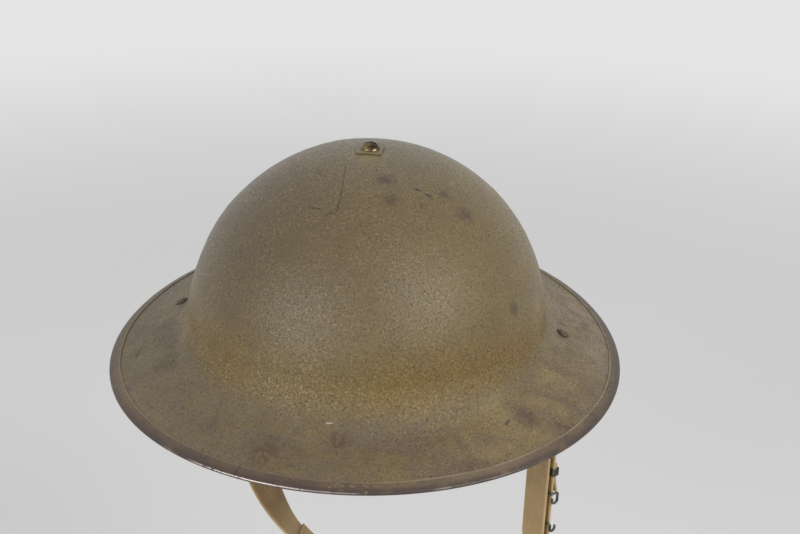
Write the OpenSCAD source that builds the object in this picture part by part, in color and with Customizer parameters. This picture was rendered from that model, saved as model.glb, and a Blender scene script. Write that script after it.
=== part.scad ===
// Wide-brimmed steel helmet with a leather liner on a spring frame and a webbing chin strap.
// Origin: centre of the mean rim plane. +X is the wearer's left, -Y the front, +Z up.

/* [Shell] */
// Overall width over the rim band
helmet_w = 292; // [270:1:310]
// Overall length over the rim band
helmet_l = 311.2; // [295:1:330]
// Height of the crown above the mean rim plane
helmet_h = 116.5; // [110:0.5:125]
// Half width that the bowl's curve tends to at its foot
bowl_half_w = 101.8; // [99:0.2:104]
// Half length that the bowl's curve tends to at its foot
bowl_half_l = 110.8; // [108:0.2:114]
// Height of the bowl's widest level above the mean rim plane
bowl_foot = 17; // [15:0.5:20]
// Degrees down the bowl's curve at which the wall starts to sweep out into the brim, at front and back
flare_from = 79; // [77:0.5:82]
// The same at the sides, where the sweep is tighter
flare_side = 85; // [82:0.5:86]
// Downward slope of the brim in degrees
brim_slope = 22; // [17:0.5:26]
// How far the rim dips at the sides and rises at front and back
rim_dip = 2.5; // [0:0.1:4]
// Thickness of the pressed steel
steel_t = 1; // [0.8:0.05:1.4]

/* [Rim band] */
// Width of the folded band on the upper face
band_w = 5.6; // [3.5:0.1:8]
// Thickness of the band sheet
band_t = 0.5; // [0.3:0.05:0.8]
// Gap at the butt joint
band_gap = 0.5; // [0.2:0.1:2]

/* [Crown fitting] */
// Side of the square plate under the screw head
plate_w = 14; // [12:0.5:18]
// Thickness of the square plate
plate_t = 1.1; // [0.8:0.1:2]
// Diameter of the domed screw head
head_d = 10.8; // [9:0.2:11.6]
// Height of the domed screw head
head_h = 3.4; // [2.4:0.1:4.4]
// Width of the screwdriver slot
slot_w = 1.3; // [0.8:0.1:2]
// Depth of the screwdriver slot
slot_deep = 1.2; // [0.6:0.1:1.8]
// Diameter of the screw shank
screw_d = 4; // [3:0.1:5]
// Diameter of the washer inside the crown
washer_d = 14; // [10:0.5:18]
// Thickness of the washer that keeps the spring strips clear of the crown
washer_t = 2.5; // [2.3:0.1:3]
// Width across the square nut
nut_w = 8; // [7:0.2:10]
// Thickness of the square nut
nut_t = 3.4; // [2.4:0.1:4.5]

/* [Liner frame] */
// Half width of the head hoop, outside
hoop_half_w = 86; // [82:0.5:88]
// Half length of the head hoop, outside
hoop_half_l = 104; // [98:0.5:105]
// Height of the hoop strip
hoop_h = 14; // [11:0.5:18]
// Thickness of the hoop strip
hoop_t = 0.8; // [0.6:0.1:1.2]
// Lower edge of the hoop above the rim plane
hoop_z = 3; // [0:0.5:7]
// Width of the spring strips that cross at the crown
spring_w = 16; // [14:0.5:20]
// Thickness of the spring strips
spring_t = 0.8; // [0.6:0.1:1.2]
// Flat part of a spring strip each side of the screw
spring_flat = 9; // [8:0.5:12]
// Shank diameter of the rivets that join strips and hoop
arm_rivet_d = 3; // [2:0.1:3.4]
// Spacing of the two rivets at a strip end
arm_rivet_gap = 9; // [7:0.5:10]

/* [Leather and felt] */
// Thickness of the sweatband leather
leather_t = 1.5; // [1:0.1:2]
// Height of the plain band above the hoop's lower edge
leather_h = 27; // [22:1:32]
// Rise of the tongues above the plain band
tongue_rise = 62; // [50:1:66]
// Number of tongues
tongues = 8; // [6:1:10]
// Angle up the dome at which a tongue ends, in degrees
tongue_angle = 66; // [60:1:70]
// Diameter of the lace
lace_d = 2; // [1.4:0.1:2.4]
// Radius of the felt crown pad
pad_r = 30; // [26:1:34]
// Thickness of the felt crown pad
pad_t = 10; // [7:0.5:13]

/* [Chin strap fittings] */
// Distance of the side rivets out from the bowl
rivet_out = 10.4; // [9:0.2:13]
// Distance of the side rivets behind the middle of the helmet
rivet_y = 4.5; // [-2:0.5:6]
// Head diameter of the side rivets
rivet_head_d = 7; // [5:0.2:8]
// Shank diameter of the side rivets
rivet_d = 4; // [3:0.1:4.4]
// Width of the clip that holds a bail
clip_w = 12; // [9:0.5:16]
// Thickness of the clip sheet
clip_t = 1; // [0.7:0.1:1.3]
// Diameter of the bail wire
bail_d = 2.4; // [1.8:0.1:3]
// Drop of the bail from its pivot to its lower bar
bail_drop = 12; // [10:0.2:13]
// Wire diameter of the catch ring
ring_d = 2; // [1.4:0.1:2.4]
// Length of the catch ring along the strap
ring_l = 12; // [9:0.5:16]
// Wire diameter of the strap hooks
hook_d = 1.6; // [1.2:0.1:2]
// Inside bend radius of a strap hook
hook_bend = 1.1; // [1.1:0.1:1.6]

/* [Webbing] */
// Width of the webbing
web_w = 19; // [15:0.5:22]
// Thickness of the webbing
web_t = 1.8; // [1.2:0.1:2.2]
// Turn of the right strap towards the front, in degrees
right_turn = 42; // [0:1:50]
// Length of the right strap's inner leg below its bail bar
inner_leg = 139; // [134:1:150]
// Length of the right strap's outer leg below its bail bar
outer_leg = 160; // [150:1:190]
// Straight length of the left strap below its bail bar
left_straight = 112; // [90:1:130]
// Length of the curved end of the left strap
left_curve = 66; // [45:1:80]
// Slant of the left strap's straight part in degrees
left_slant = 20; // [0:1:24]
// Slant at the far end of the left strap in degrees
left_end_slant = 46; // [30:1:50]
// Greatest turn of the left strap in degrees
left_turn = 41; // [0:1:45]

/* [Hidden] */
$fn = 48;

// Clearances
sheet_gap = 0.05;   // between folded or stacked sheets
run_gap = 0.05;     // radial, between a wire and the curl it turns in
hole_gap = 0.05;    // radial, between a rivet and its hole
soft_gap = 0.3;     // between webbing or leather and metal
ply_gap = 0.2;      // between two sewn plies

// Mesh of the shell: steps round the rim, and rows up the dome, flare and brim
around = 96;
dome_rows = 14;
flare_rows = 7;
brim_rows = 4;
step_a = 360 / around;

// Folded band: the shell's edge sits this far inside the overall outline
band_seat = 0.35;
band_in = steel_t / 2 + sheet_gap;
band_out = band_in + band_t;
band_reach = band_seat + band_out;
edge_half_w = helmet_w / 2 - band_reach * cos(brim_slope);
edge_half_l = helmet_l / 2 - band_reach * cos(brim_slope);
joint_step = 68;

// Radius of an ellipse in the direction a
function oval(a, w, l) = 1 / sqrt(pow(cos(a) / w, 2) + pow(sin(a) / l, 2));
function edge_r(a) = oval(a, edge_half_w, edge_half_l);
function bowl_r(a) = oval(a, bowl_half_w, bowl_half_l);

// Bowl's height above its foot
bowl_h = helmet_h - bowl_foot;

// The flare is an arc that touches the bowl's curve and the brim's straight slope
brim_n = [sin(brim_slope), cos(brim_slope)];
function bowl_n(a, f) = let (n = [sin(f) / bowl_r(a), cos(f) / bowl_h]) n / norm(n);
function bowl_pt(a, f) = [bowl_r(a) * sin(f), bowl_foot + bowl_h * cos(f)];
function flare_f(a) = flare_from + (flare_side - flare_from) * pow(cos(a), 2);
function flare_n(a) = bowl_n(a, flare_f(a));
function flare_top(a) = bowl_pt(a, flare_f(a));
function flare_r(a) = (flare_top(a) - [edge_r(a), 0]) * brim_n / (1 - flare_n(a) * brim_n);
function flare_hub(a) = flare_top(a) + flare_r(a) * flare_n(a);
function flare_turn(a) = 90 - brim_slope - atan2(flare_n(a)[1], flare_n(a)[0]);

// Rim dip grows with the fourth power of the distance from the axis
function dip(a, r) = -rim_dip * pow(r / edge_r(a), 4) * cos(2 * a);

// A point of the section at direction a, moved out by d: dome, then flare, then brim
function dome_pt(a, f, d) = bowl_pt(a, f) + d * bowl_n(a, f);
function flare_pt(a, k, d) = let (g = 90 - brim_slope - flare_turn(a) * (1 - k))
    flare_hub(a) - (flare_r(a) - d) * [cos(g), sin(g)];
function brim_pt(a, k, d) = let (t0 = flare_pt(a, 1, 0), t1 = [edge_r(a), 0]) t0 + k * (t1 - t0) + d * brim_n;
function section(a, d) = concat(
    [for (i = [1:dome_rows]) dome_pt(a, flare_f(a) * i / dome_rows, d)],
    [for (i = [1:flare_rows]) flare_pt(a, i / flare_rows, d)],
    [for (i = [1:brim_rows]) brim_pt(a, i / brim_rows, d)]);
function place(a, q) = [q[0] * cos(a), q[0] * sin(a), q[1] + dip(a, q[0])];

// Side rivets keep their distance from the bowl; they sit on the flare's arc, or further out on the slope
rivet_x = bowl_half_w + rivet_out;
rivet_a = atan2(rivet_y, rivet_x);
rivet_rho = norm([rivet_x, rivet_y]);
rivet_hub = flare_hub(rivet_a);
rivet_turn = min(90 - brim_slope, acos(max(-1, (rivet_hub[0] - rivet_rho) / flare_r(rivet_a))));
on_arc = rivet_hub - flare_r(rivet_a) * [cos(rivet_turn), sin(rivet_turn)];
rivet_z = place(rivet_a, [rivet_rho, on_arc[1] - (rivet_rho - on_arc[0]) * tan(brim_slope)])[2];
rivet_tilt = 90 - rivet_turn + atan(4 * rim_dip * pow(rivet_rho, 3) / pow(edge_r(rivet_a), 4));

// Bail pivot, in the plane across the helmet
clip_drop = 0.25;
clip_end = 5;
curl_r = bail_d / 2 + run_gap + clip_t;
curl_back = 6.5;
curl_down = steel_t + clip_drop + curl_r;
pivot_x = rivet_x - curl_back * cos(rivet_tilt) - curl_down * sin(rivet_tilt);
pivot_z = rivet_z + curl_back * sin(rivet_tilt) - curl_down * cos(rivet_tilt);
bar_z = pivot_z - bail_drop;
bail_half_w = web_w / 2 + 1.5 + bail_d / 2;

// Stack under the crown
inner_top = helmet_h - steel_t;
crown_sag = washer_d / 2 * tan(max(flare_from, flare_side) / 2 / dome_rows) * bowl_h / bowl_half_w;
washer_top = inner_top - crown_sag - sheet_gap;
long_top = washer_top - washer_t;
cross_top = long_top - spring_t;
nut_top = cross_top - spring_t;
hoop_top = hoop_z + hoop_h;
arm_foot = hoop_z + 5;
rivet_row = (arm_foot + hoop_top) / 2;

// Webbing loops round a bar
loop_r = bail_d / 2 + soft_gap + web_t / 2;
ring_loop_r = ring_d / 2 + soft_gap + web_t / 2;
sewn_off = (web_t + ply_gap) / 2;
hang_gap = hook_d + 2 * soft_gap + 0.4;
hang_off = (web_t + hang_gap) / 2;

function smooth(t) = let (u = min(1, max(0, t))) u * u * (3 - 2 * u);
function mix(p, q, t) = p + (q - p) * smooth(t);

// Faces of a closed tube of n-sided rings, and of a ring of rings
function ring_quads(rows, n) = [for (i = [0:rows - 2], j = [0:n - 1]) let (k = (j + 1) % n)
    each [[i * n + j, i * n + k, (i + 1) * n + k], [i * n + j, (i + 1) * n + k, (i + 1) * n + j]]];
function end_fan(start, n, back) = [for (j = [1:n - 2])
    back ? [start, start + j + 1, start + j] : [start, start + j, start + j + 1]];
module swept(rings) {
    n = len(rings[0]);
    rows = len(rings);
    polyhedron(points = [for (r = rings) each r], faces = concat(ring_quads(rows, n),
        end_fan(0, n, true), end_fan((rows - 1) * n, n, false)));
}
module swept_closed(rings) {
    n = len(rings[0]);
    rows = len(rings);
    polyhedron(points = [for (r = rings) each r], faces = [for (i = [0:rows - 1], j = [0:n - 1])
        let (k = (j + 1) % n, m = (i + 1) % rows)
        each [[i * n + j, i * n + k, m * n + k], [i * n + j, m * n + k, m * n + j]]]);
}

// A filled ellipse, and an upright elliptical wall
function ellipse_pts(w, l, n) = [for (i = [0:n - 1]) [w * cos(360 * i / n), l * sin(360 * i / n)]];
module wall(w, l, t, z0, z1) {
    translate([0, 0, z0]) linear_extrude(z1 - z0) difference() {
        polygon(ellipse_pts(w, l, around));
        polygon(ellipse_pts(w - t, l - t, around));
    }
}

// Local frame on the brim at a side rivet: x runs out and down, z is the surface normal
module at_rivet(side) {
    mirror([side < 0 ? 1 : 0, 0, 0]) translate([rivet_x, rivet_y, rivet_z]) rotate([0, rivet_tilt, 0])
        children();
}

// Pressed bowl and brim in one sheet
module shell() {
    rows = dome_rows + flare_rows + brim_rows;
    outer = [for (i = [0:around - 1]) each [for (q = section(i * step_a, 0)) place(i * step_a, q)]];
    inner = [for (i = [0:around - 1]) each [for (q = section(i * step_a, -steel_t)) place(i * step_a, q)]];
    count = around * rows;
    top = 2 * count;
    faces = [for (i = [0:around - 1]) let (m = (i + 1) % around) each concat(
        [[top, m * rows, i * rows], [top + 1, count + i * rows, count + m * rows]],
        [for (j = [0:rows - 2]) each [
            [i * rows + j, m * rows + j, m * rows + j + 1],
            [i * rows + j, m * rows + j + 1, i * rows + j + 1],
            [count + i * rows + j, count + m * rows + j + 1, count + m * rows + j],
            [count + i * rows + j, count + i * rows + j + 1, count + m * rows + j + 1]]],
        [[i * rows + rows - 1, m * rows + rows - 1, count + m * rows + rows - 1],
            [i * rows + rows - 1, count + m * rows + rows - 1, count + i * rows + rows - 1]])];
    color("#7b6d4c") difference() {
        polyhedron(points = concat(outer, inner, [[0, 0, helmet_h], [0, 0, inner_top]]), faces = faces);
        translate([0, 0, inner_top - 2]) cylinder(h = steel_t + 4, r = screw_d / 2 + hole_gap);
        for (side = [-1, 1]) at_rivet(side) translate([0, 0, -steel_t - 2])
            cylinder(h = steel_t + 4, r = rivet_d / 2 + hole_gap);
    }
}

// Folded band round the edge, open at a butt joint
function band_ring(a) = let (t = [cos(brim_slope), -sin(brim_slope)], n = [sin(brim_slope), cos(brim_slope)],
    o = [edge_r(a), 0] - n * steel_t / 2,
    arc = [for (g = [90:-30:-90]) [band_seat + band_out * cos(g), band_out * sin(g)]],
    bore = [for (g = [-90:45:90]) [band_seat + band_in * cos(g), band_in * sin(g)]],
    outline = concat([[-band_w, band_out]], arc, [[-band_w, -band_out], [-band_w, -band_in]], bore,
        [[-band_w, band_in]]))
    [for (q = outline) place(a, o + q[0] * t + q[1] * n)];
module rim_band() {
    joint_a = joint_step * step_a;
    half = band_gap / 2 / edge_r(joint_a) * 180 / PI;
    angles = concat([joint_a + half], [for (i = [1:around - 1]) joint_a + i * step_a], [joint_a + 360 - half]);
    color("#6f5d49") swept([for (a = angles) band_ring(a)]);
}

// Square plate, pressed to the curve of the crown
plate_ball = 118;
module crown_plate() {
    color("#8a7c55") difference() {
        intersection() {
            translate([-plate_w / 2, -plate_w / 2, helmet_h - 3]) cube([plate_w, plate_w, 8]);
            translate([0, 0, helmet_h + sheet_gap + plate_t - plate_ball]) sphere(r = plate_ball, $fn = 96);
        }
        translate([0, 0, helmet_h + sheet_gap - plate_ball]) sphere(r = plate_ball, $fn = 96);
        translate([0, 0, helmet_h - 4]) cylinder(h = 12, r = screw_d / 2 + hole_gap);
    }
}

// Brass screw with a domed, slotted head
module crown_screw() {
    ball = (pow(head_d / 2, 2) + head_h * head_h) / (2 * head_h);
    seat = helmet_h + 2 * sheet_gap + plate_t;
    tip = nut_top - nut_t - 0.8;
    color("#a98a45") {
        difference() {
            intersection() {
                translate([0, 0, seat + head_h - ball]) sphere(r = ball);
                translate([0, 0, seat]) cylinder(h = head_h + 1, r = head_d);
            }
            translate([-head_d, -slot_w / 2, seat + head_h - slot_deep]) cube([2 * head_d, slot_w, slot_deep + 1]);
        }
        translate([0, 0, tip]) cylinder(h = seat - tip + 0.5, r = screw_d / 2);
    }
}

module crown_washer() {
    color("#6b6a66") translate([0, 0, long_top]) difference() {
        cylinder(h = washer_t, r = washer_d / 2);
        translate([0, 0, -1]) cylinder(h = washer_t + 2, r = screw_d / 2 + hole_gap);
    }
}

module crown_nut() {
    color("#6b6a66") translate([0, 0, nut_top - nut_t]) difference() {
        translate([-nut_w / 2, -nut_w / 2, 0]) cube([nut_w, nut_w, nut_t - sheet_gap]);
        translate([0, 0, -1]) cylinder(h = nut_t + 2, r = screw_d / 2 + hole_gap);
    }
}

// Spring strip: flat at the screw, bowed down to the hoop, then upright to its foot
function bow(half, top, d) = [for (f = [0:5:90])
    [spring_flat + (half + spring_t - spring_flat - d) * sin(f), hoop_top + (top - hoop_top - d) * cos(f)]];
module spring(half, top) {
    outer = bow(half, top, 0);
    inner = bow(half, top, spring_t);
    right = concat(outer, [[half + spring_t, arm_foot], [half, arm_foot]],
        [for (i = [len(inner) - 1:-1:0]) inner[i]]);
    left = [for (i = [len(right) - 1:-1:0]) [-right[i][0], right[i][1]]];
    rotate([90, 0, 0]) translate([0, 0, -spring_w / 2]) linear_extrude(spring_w)
        polygon(concat(right, left));
}
pad_rivet_at = pad_r * 2 / 3;
pad_rivet_r = 1.2;
pad_rivet_head_r = 2.4;
pad_rivet_head_h = 0.6;
pad_rivet_l = 7;
module spring_holes(half) {
    translate([0, 0, nut_top - 4]) cylinder(h = 12, r = screw_d / 2 + hole_gap);
    for (s = [-1, 1]) {
        translate([s * pad_rivet_at, 0, nut_top - 12]) cylinder(h = 20, r = pad_rivet_r + hole_gap);
        for (k = [-1, 1]) translate([s * half, k * arm_rivet_gap / 2, rivet_row]) rotate([0, 90, 0])
            cylinder(h = 12, r = arm_rivet_d / 2 + hole_gap, center = true);
    }
}
module long_spring() {
    color("#55534e") rotate([0, 0, 90]) difference() {
        spring(hoop_half_l + sheet_gap, long_top);
        spring_holes(hoop_half_l);
    }
}
module cross_spring() {
    color("#55534e") difference() {
        spring(hoop_half_w + sheet_gap, cross_top);
        spring_holes(hoop_half_w);
    }
}

// Oval spring steel hoop that carries the leather
module head_hoop() {
    color("#55534e") difference() {
        wall(hoop_half_w, hoop_half_l, hoop_t, hoop_z, hoop_top);
        spring_holes(hoop_half_w);
        rotate([0, 0, 90]) spring_holes(hoop_half_l);
    }
}

// Flat-headed rivets at the four strip ends; the inner heads stand off the hoop's curve
arm_rivet_in = 0.87;
arm_rivet_head_r = 2.6;
arm_rivet_head_h = 0.8;
arm_rivet_foot_h = 0.5;
module arm_rivet(half) {
    for (s = [-1, 1], k = [-1, 1]) translate([s * half, k * arm_rivet_gap / 2, rivet_row])
        rotate([0, s * 90, 0]) {
            translate([0, 0, spring_t + 2 * sheet_gap])
                cylinder(h = arm_rivet_head_h, r1 = arm_rivet_head_r, r2 = 0.77 * arm_rivet_head_r);
            translate([0, 0, -hoop_t - 0.6]) cylinder(h = hoop_t + spring_t + 0.9, r = arm_rivet_d / 2);
            translate([0, 0, -hoop_t - arm_rivet_in])
                cylinder(h = arm_rivet_foot_h, r = 0.8 * arm_rivet_head_r);
        }
}
module arm_rivets() {
    color("#8b8a80") {
        arm_rivet(hoop_half_w);
        rotate([0, 0, 90]) arm_rivet(hoop_half_l);
    }
}

// Felt pad under the hub, with a hole round the nut
pad_edge_drop = 4.6;
pad_round = 3;
pad_belly = 1.6;
module crown_pad() {
    top = nut_top - soft_gap;
    hole = nut_w * 0.75 + 1;
    drop = pad_edge_drop;
    color("#b9ac93") difference() {
        rotate_extrude($fn = 64) polygon(concat(
            [[hole, top - pad_t + 1], [hole, top - 0.6], [hole + 1, top]],
            [for (k = [0.3:0.1:0.9]) [hole + (pad_r - hole) * k, top - drop * k * k]],
            [for (g = [60:-30:-90]) [pad_r + pad_round * (cos(g) - 1),
                top - drop - pad_t / 2 * (1 - sin(g)) + 0.4 * pad_round]],
            [[hole + 0.8 * pad_t, top - pad_t - pad_belly], [hole + 0.2 * pad_t, top - pad_t - 0.4 * pad_belly]]));
        for (g = [0:90:270]) rotate([0, 0, g]) translate([pad_rivet_at, 0, top - pad_rivet_l - 1])
            cylinder(h = pad_rivet_l + 5, r = pad_rivet_r + hole_gap);
    }
}

// Four split rivets that hold the pad to the spring strips
module pad_rivets() {
    color("#8b8a80") for (g = [0:90:270]) rotate([0, 0, g]) {
        half = g % 180 == 0 ? hoop_half_w : hoop_half_l;
        strip = g % 180 == 0 ? cross_top : long_top;
        near = (pad_rivet_at - pad_rivet_head_r - spring_flat) / (half + spring_t - spring_flat);
        seat = hoop_top + (strip - hoop_top) * cos(asin(near)) + sheet_gap;
        foot = nut_top - pad_rivet_l;
        translate([pad_rivet_at, 0, seat])
            cylinder(h = pad_rivet_head_h, r1 = pad_rivet_head_r, r2 = 0.75 * pad_rivet_head_r);
        translate([pad_rivet_at, 0, foot]) cylinder(h = seat + 0.2 - foot, r = pad_rivet_r);
    }
}

// Leather band, folded under the hoop and clear of the inner rivet heads
band_outer = hoop_t + arm_rivet_in + 0.05;
leather_top = hoop_z + leather_h;
module sweatband() {
    w = hoop_half_w - band_outer;
    l = hoop_half_l - band_outer;
    fold_w = hoop_half_w + soft_gap + leather_t;
    fold_l = hoop_half_l + soft_gap + leather_t;
    foot = hoop_z - soft_gap - leather_t;
    color("#5a3d26") {
        wall(w, l, leather_t, foot, leather_top);
        wall(fold_w, fold_l, fold_w - w + leather_t, foot, foot + leather_t);
        wall(fold_w, fold_l, leather_t, foot, arm_foot - 0.6);
    }
}

// Leather tongues, sewn inside the band and leaning in over the head
tongue_seam = 12;
lace_v = 0.93;
lace_hole = 1.1 * lace_d;
tongue_gap = 1.2;      // half the angle between neighbours at the band, in degrees
tongue_taper = 3.2;    // what each side of a tongue loses towards its tip, in degrees
tongue_tip = 0.74;     // share of the width that the clipped tip keeps
tongue_out = band_outer + leather_t + 2 * sheet_gap;
function tongue_pt(a, v, d) = let (f = tongue_angle * v,
    w = (hoop_half_w - tongue_out - d) * cos(f), l = (hoop_half_l - tongue_out - d) * cos(f))
    [w * cos(a), l * sin(a), leather_top - tongue_seam + (tongue_rise + tongue_seam - d) * sin(f)];
module tongue_hole(a) {
    p = tongue_pt(a, lace_v, leather_t / 2);
    d = tongue_pt(a, lace_v, -8) - p;
    translate(p) rotate([0, acos(d[2] / norm(d)), atan2(d[1], d[0])])
        cylinder(h = 8, r = lace_hole, center = true, $fn = 24);
}
module tongue(a0) {
    rows = 10;
    across = 6;
    half = [for (i = [0:rows]) (180 / tongues - tongue_gap - tongue_taper * sin(90 * i / rows))
        * (i == rows ? tongue_tip : 1)];
    difference() {
        swept([for (i = [0:rows]) concat(
            [for (k = [0:across]) tongue_pt(a0 + half[i] * (2 * k / across - 1), i / rows, 0)],
            [for (k = [across:-1:0]) tongue_pt(a0 + half[i] * (2 * k / across - 1), i / rows, leather_t)])]);
        for (s = [-1, 1]) tongue_hole(a0 + s * 90 / tongues);
    }
}
module liner_tongues() {
    color("#5a3d26") for (i = [0:tongues - 1]) tongue((i + 0.5) * 360 / tongues);
}

// Lace that draws the tongue tips together, in through one hole and out through the next
lace_off = leather_t / 2 + lace_d / 2 + 0.15;
lace_steps = [0.1, 0.25, 0.4, 0.47, 0.53, 0.6, 0.75, 0.9, 0.97, 1.03];
function lace_side(p) = min(1, max(-1, 6 * sin(360 * p)));
function lace_pt(i, p) = tongue_pt((i + p + 0.25) * 360 / tongues, lace_v, leather_t / 2 - lace_off * lace_side(p));
module liner_lace() {
    mid = [for (i = [0:tongues - 1], p = lace_steps) lace_pt(i, p)];
    n = len(mid);
    color("#8f7a58") swept_closed([for (i = [0:n - 1]) let (
        along = mid[(i + 1) % n] - mid[(i + n - 1) % n], t = along / norm(along),
        side = cross(t, [0, 0, 1]), u = side / norm(side), v = cross(t, u))
        [for (g = [0:45:315]) mid[i] + lace_d / 2 * (cos(g) * u + sin(g) * v)]]);
}

// Clip: a folded steel tab under the brim, curled round the bail
module bail_clip(side) {
    color("#4d463c") at_rivet(side) difference() {
        union() {
            translate([-curl_back, -clip_w / 2, -steel_t - clip_drop - clip_t])
                cube([curl_back + clip_end, clip_w, clip_t]);
            translate([-curl_back, 0, -curl_down]) rotate([90, 0, 0])
                cylinder(h = clip_w, r = curl_r, center = true);
        }
        translate([-curl_back, 0, -curl_down]) rotate([90, 0, 0])
            cylinder(h = clip_w + 2, r = bail_d / 2 + run_gap, center = true);
        translate([0, 0, -steel_t - 5]) cylinder(h = 8, r = rivet_d / 2 + hole_gap);
    }
}
module bail_clip_right() { bail_clip(1); }
module bail_clip_left() { bail_clip(-1); }

// Rivet through the brim and the clip
rivet_ball = 4.6;
rivet_stand = 0.4;
module bail_rivet(side) {
    ball = rivet_ball;
    rise = ball - sqrt(ball * ball - pow(rivet_head_d / 2, 2));
    under = -steel_t - clip_drop - clip_t - sheet_gap;
    color("#5e4f3c") at_rivet(side) {
        translate([0, 0, sheet_gap + rivet_stand]) intersection() {
            translate([0, 0, rise - ball]) sphere(r = ball);
            cylinder(h = rise + 1, r = rivet_head_d);
        }
        translate([0, 0, under - 0.5]) cylinder(h = 1 - under, r = rivet_d / 2);
        translate([0, 0, under - 1]) cylinder(h = 1, r1 = rivet_d / 2 + 0.4, r2 = rivet_d / 2 + 0.8);
    }
}
module bail_rivet_right() { bail_rivet(1); }
module bail_rivet_left() { bail_rivet(-1); }

// Closed rectangular wire loop, in the plane of y and z, hanging from its upper bar
wire_bend = 1.2;
module wire_loop(half_w, drop, d) {
    bend = d / 2 + wire_bend;
    for (z = [0, -drop]) translate([0, 0, z]) rotate([90, 0, 0])
        cylinder(h = 2 * (half_w - bend), r = d / 2, center = true);
    for (s = [-1, 1]) {
        translate([0, s * half_w, -drop + bend]) cylinder(h = drop - 2 * bend, r = d / 2);
        for (k = [0, 1]) translate([0, s * (half_w - bend), k == 0 ? -bend : bend - drop])
            rotate([90, 0, 90]) rotate([0, 0, (s > 0 ? 0 : 90) + (k == 0 ? 0 : (s > 0 ? 270 : 90))])
                rotate_extrude(angle = 90) translate([bend, 0]) circle(r = d / 2, $fn = 24);
    }
}
module bail(side) {
    color("#4d463c") translate([side * pivot_x, rivet_y, pivot_z]) wire_loop(bail_half_w, bail_drop, bail_d);
}
module bail_right() { bail(1); }
module bail_left() { bail(-1); }

// Cross-section of webbing: centre c, across w, through n, half width h
function web_ring(c, w, n, h) = [c - w * h - n * web_t / 2, c + w * h - n * web_t / 2,
    c + w * h + n * web_t / 2, c - w * h + n * web_t / 2];

// Half width near a rounded tip, at distance d from it
function tip_half(d) = let (r = web_w / 2) d >= r ? r : sqrt(r * r - pow(r - d, 2));
tip_steps = [0.4, 1.2, 2.6, 4.6, 7, 9.5];

// Right strap: both legs hang from the bar, turn to the front, and stand apart lower down
// The legs are sewn together over sewn_l, close in over pinch_l, and turn over turn_l
sewn_l = 26;
pinch_l = 9;
turn_l = 45;
leg_shift = 1.7;
leg_spread = 1.5;
spread_l = 38;
function right_angle(d) = right_turn * smooth((d - sewn_l) / turn_l);
function right_shift(d) = leg_shift * smooth((d - sewn_l) / turn_l);
function right_off(d) = d < sewn_l ? mix(loop_r, sewn_off, d / pinch_l)
    : mix(sewn_off, hang_off, (d - sewn_l) / (turn_l - 3));
function right_ring(d, s, h) = let (g = right_angle(d), n = [cos(g), sin(g), 0], w = [-sin(g), cos(g), 0],
    spread = s > 0 ? leg_spread * smooth((d - outer_leg + spread_l) / spread_l) : 0)
    web_ring([pivot_x + right_shift(d), rivet_y, bar_z - d] + s * (right_off(d) + spread) * n, w, n * s, h);
function leg_steps(length) = concat([for (d = [0:4.5:length - 10]) d], [for (k = [5:-1:0]) length - tip_steps[k]]);
module strap_right() {
    inner = leg_steps(inner_leg);
    outer = leg_steps(outer_leg);
    rings = concat(
        [for (i = [len(inner) - 1:-1:0]) right_ring(inner[i], -1, tip_half(inner_leg - inner[i]))],
        [for (g = [160:-20:20]) let (n = [cos(g), 0, sin(g)])
            web_ring([pivot_x, rivet_y, bar_z] + loop_r * n, [0, 1, 0], n, web_w / 2)],
        [for (d = outer) right_ring(d, 1, tip_half(outer_leg - d))]);
    color("#9c8254") swept(rings);
}

// Frame of the right strap where its fittings sit
hook_at = 84;
module on_right_strap(d) {
    translate([pivot_x + right_shift(d), rivet_y, bar_z - d]) rotate([0, 0, right_angle(d)]) children();
}
outer_face = hang_off + web_t / 2;

// Short webbing tab over the upper hook
module hook_tab() {
    rings = [for (k = [0:10]) let (z = 22 - 2 * k, out = outer_face + web_t / 2 + ply_gap + 1.6 * smooth((k - 5) / 5))
        web_ring([out, 0, z], [0, 1, 0], [1, 0, 0], web_w / 2 - 0.5)];
    color("#a58a5c") on_right_strap(hook_at + 12) swept(rings);
}

// Crimped sheet clamp that holds the tab to the outer leg
clamp_h = 5;
module strap_clamp() {
    t = 0.6;
    g = 0.15;
    x0 = hang_off - web_t / 2 - g;
    x1 = outer_face + web_t + ply_gap + g;
    w = web_w / 2 + g;
    color("#3f3d38") on_right_strap(hook_at - 5) difference() {
        translate([x0 - t, -w - t, -clamp_h / 2]) cube([x1 - x0 + 2 * t, 2 * (w + t), clamp_h]);
        translate([x0, -w, -clamp_h / 2 - 1]) cube([x1 - x0, 2 * w, clamp_h + 2]);
    }
}

// Wire hook: a bar between the plies, and a hook beyond each edge of the webbing
hook_half = web_w / 2 + hook_d / 2 + soft_gap;
hook_r = hook_bend + hook_d / 2;
hook_corner = 1.3;
hook_tip_l = 1.2;
hook_seat = 1.7;
upper_at = 9.5;
lower_at = 32;
module hook_side(shank, tip, drop) {
    turn = tip > shank ? 1 : -1;
    mid = (shank + tip) / 2;
    bend = hook_corner;
    rotate([0, 90, 0]) cylinder(h = shank - bend, r = hook_d / 2, $fn = 24);
    translate([shank - bend, 0, -bend]) rotate([90, 0, 0]) rotate_extrude(angle = 90)
        translate([bend, 0]) circle(r = hook_d / 2, $fn = 24);
    translate([shank, 0, -drop]) cylinder(h = drop - bend, r = hook_d / 2, $fn = 24);
    translate([mid, 0, -drop]) rotate([90, 0, 0]) rotate([0, 0, 180]) rotate_extrude(angle = 180)
        translate([hook_r, 0]) circle(r = hook_d / 2, $fn = 24);
    translate([tip, 0, -drop]) cylinder(h = hook_tip_l, r = hook_d / 2, $fn = 24);
    translate([tip, 0, -drop + hook_tip_l]) sphere(r = hook_d / 2, $fn = 24);
}
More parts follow.
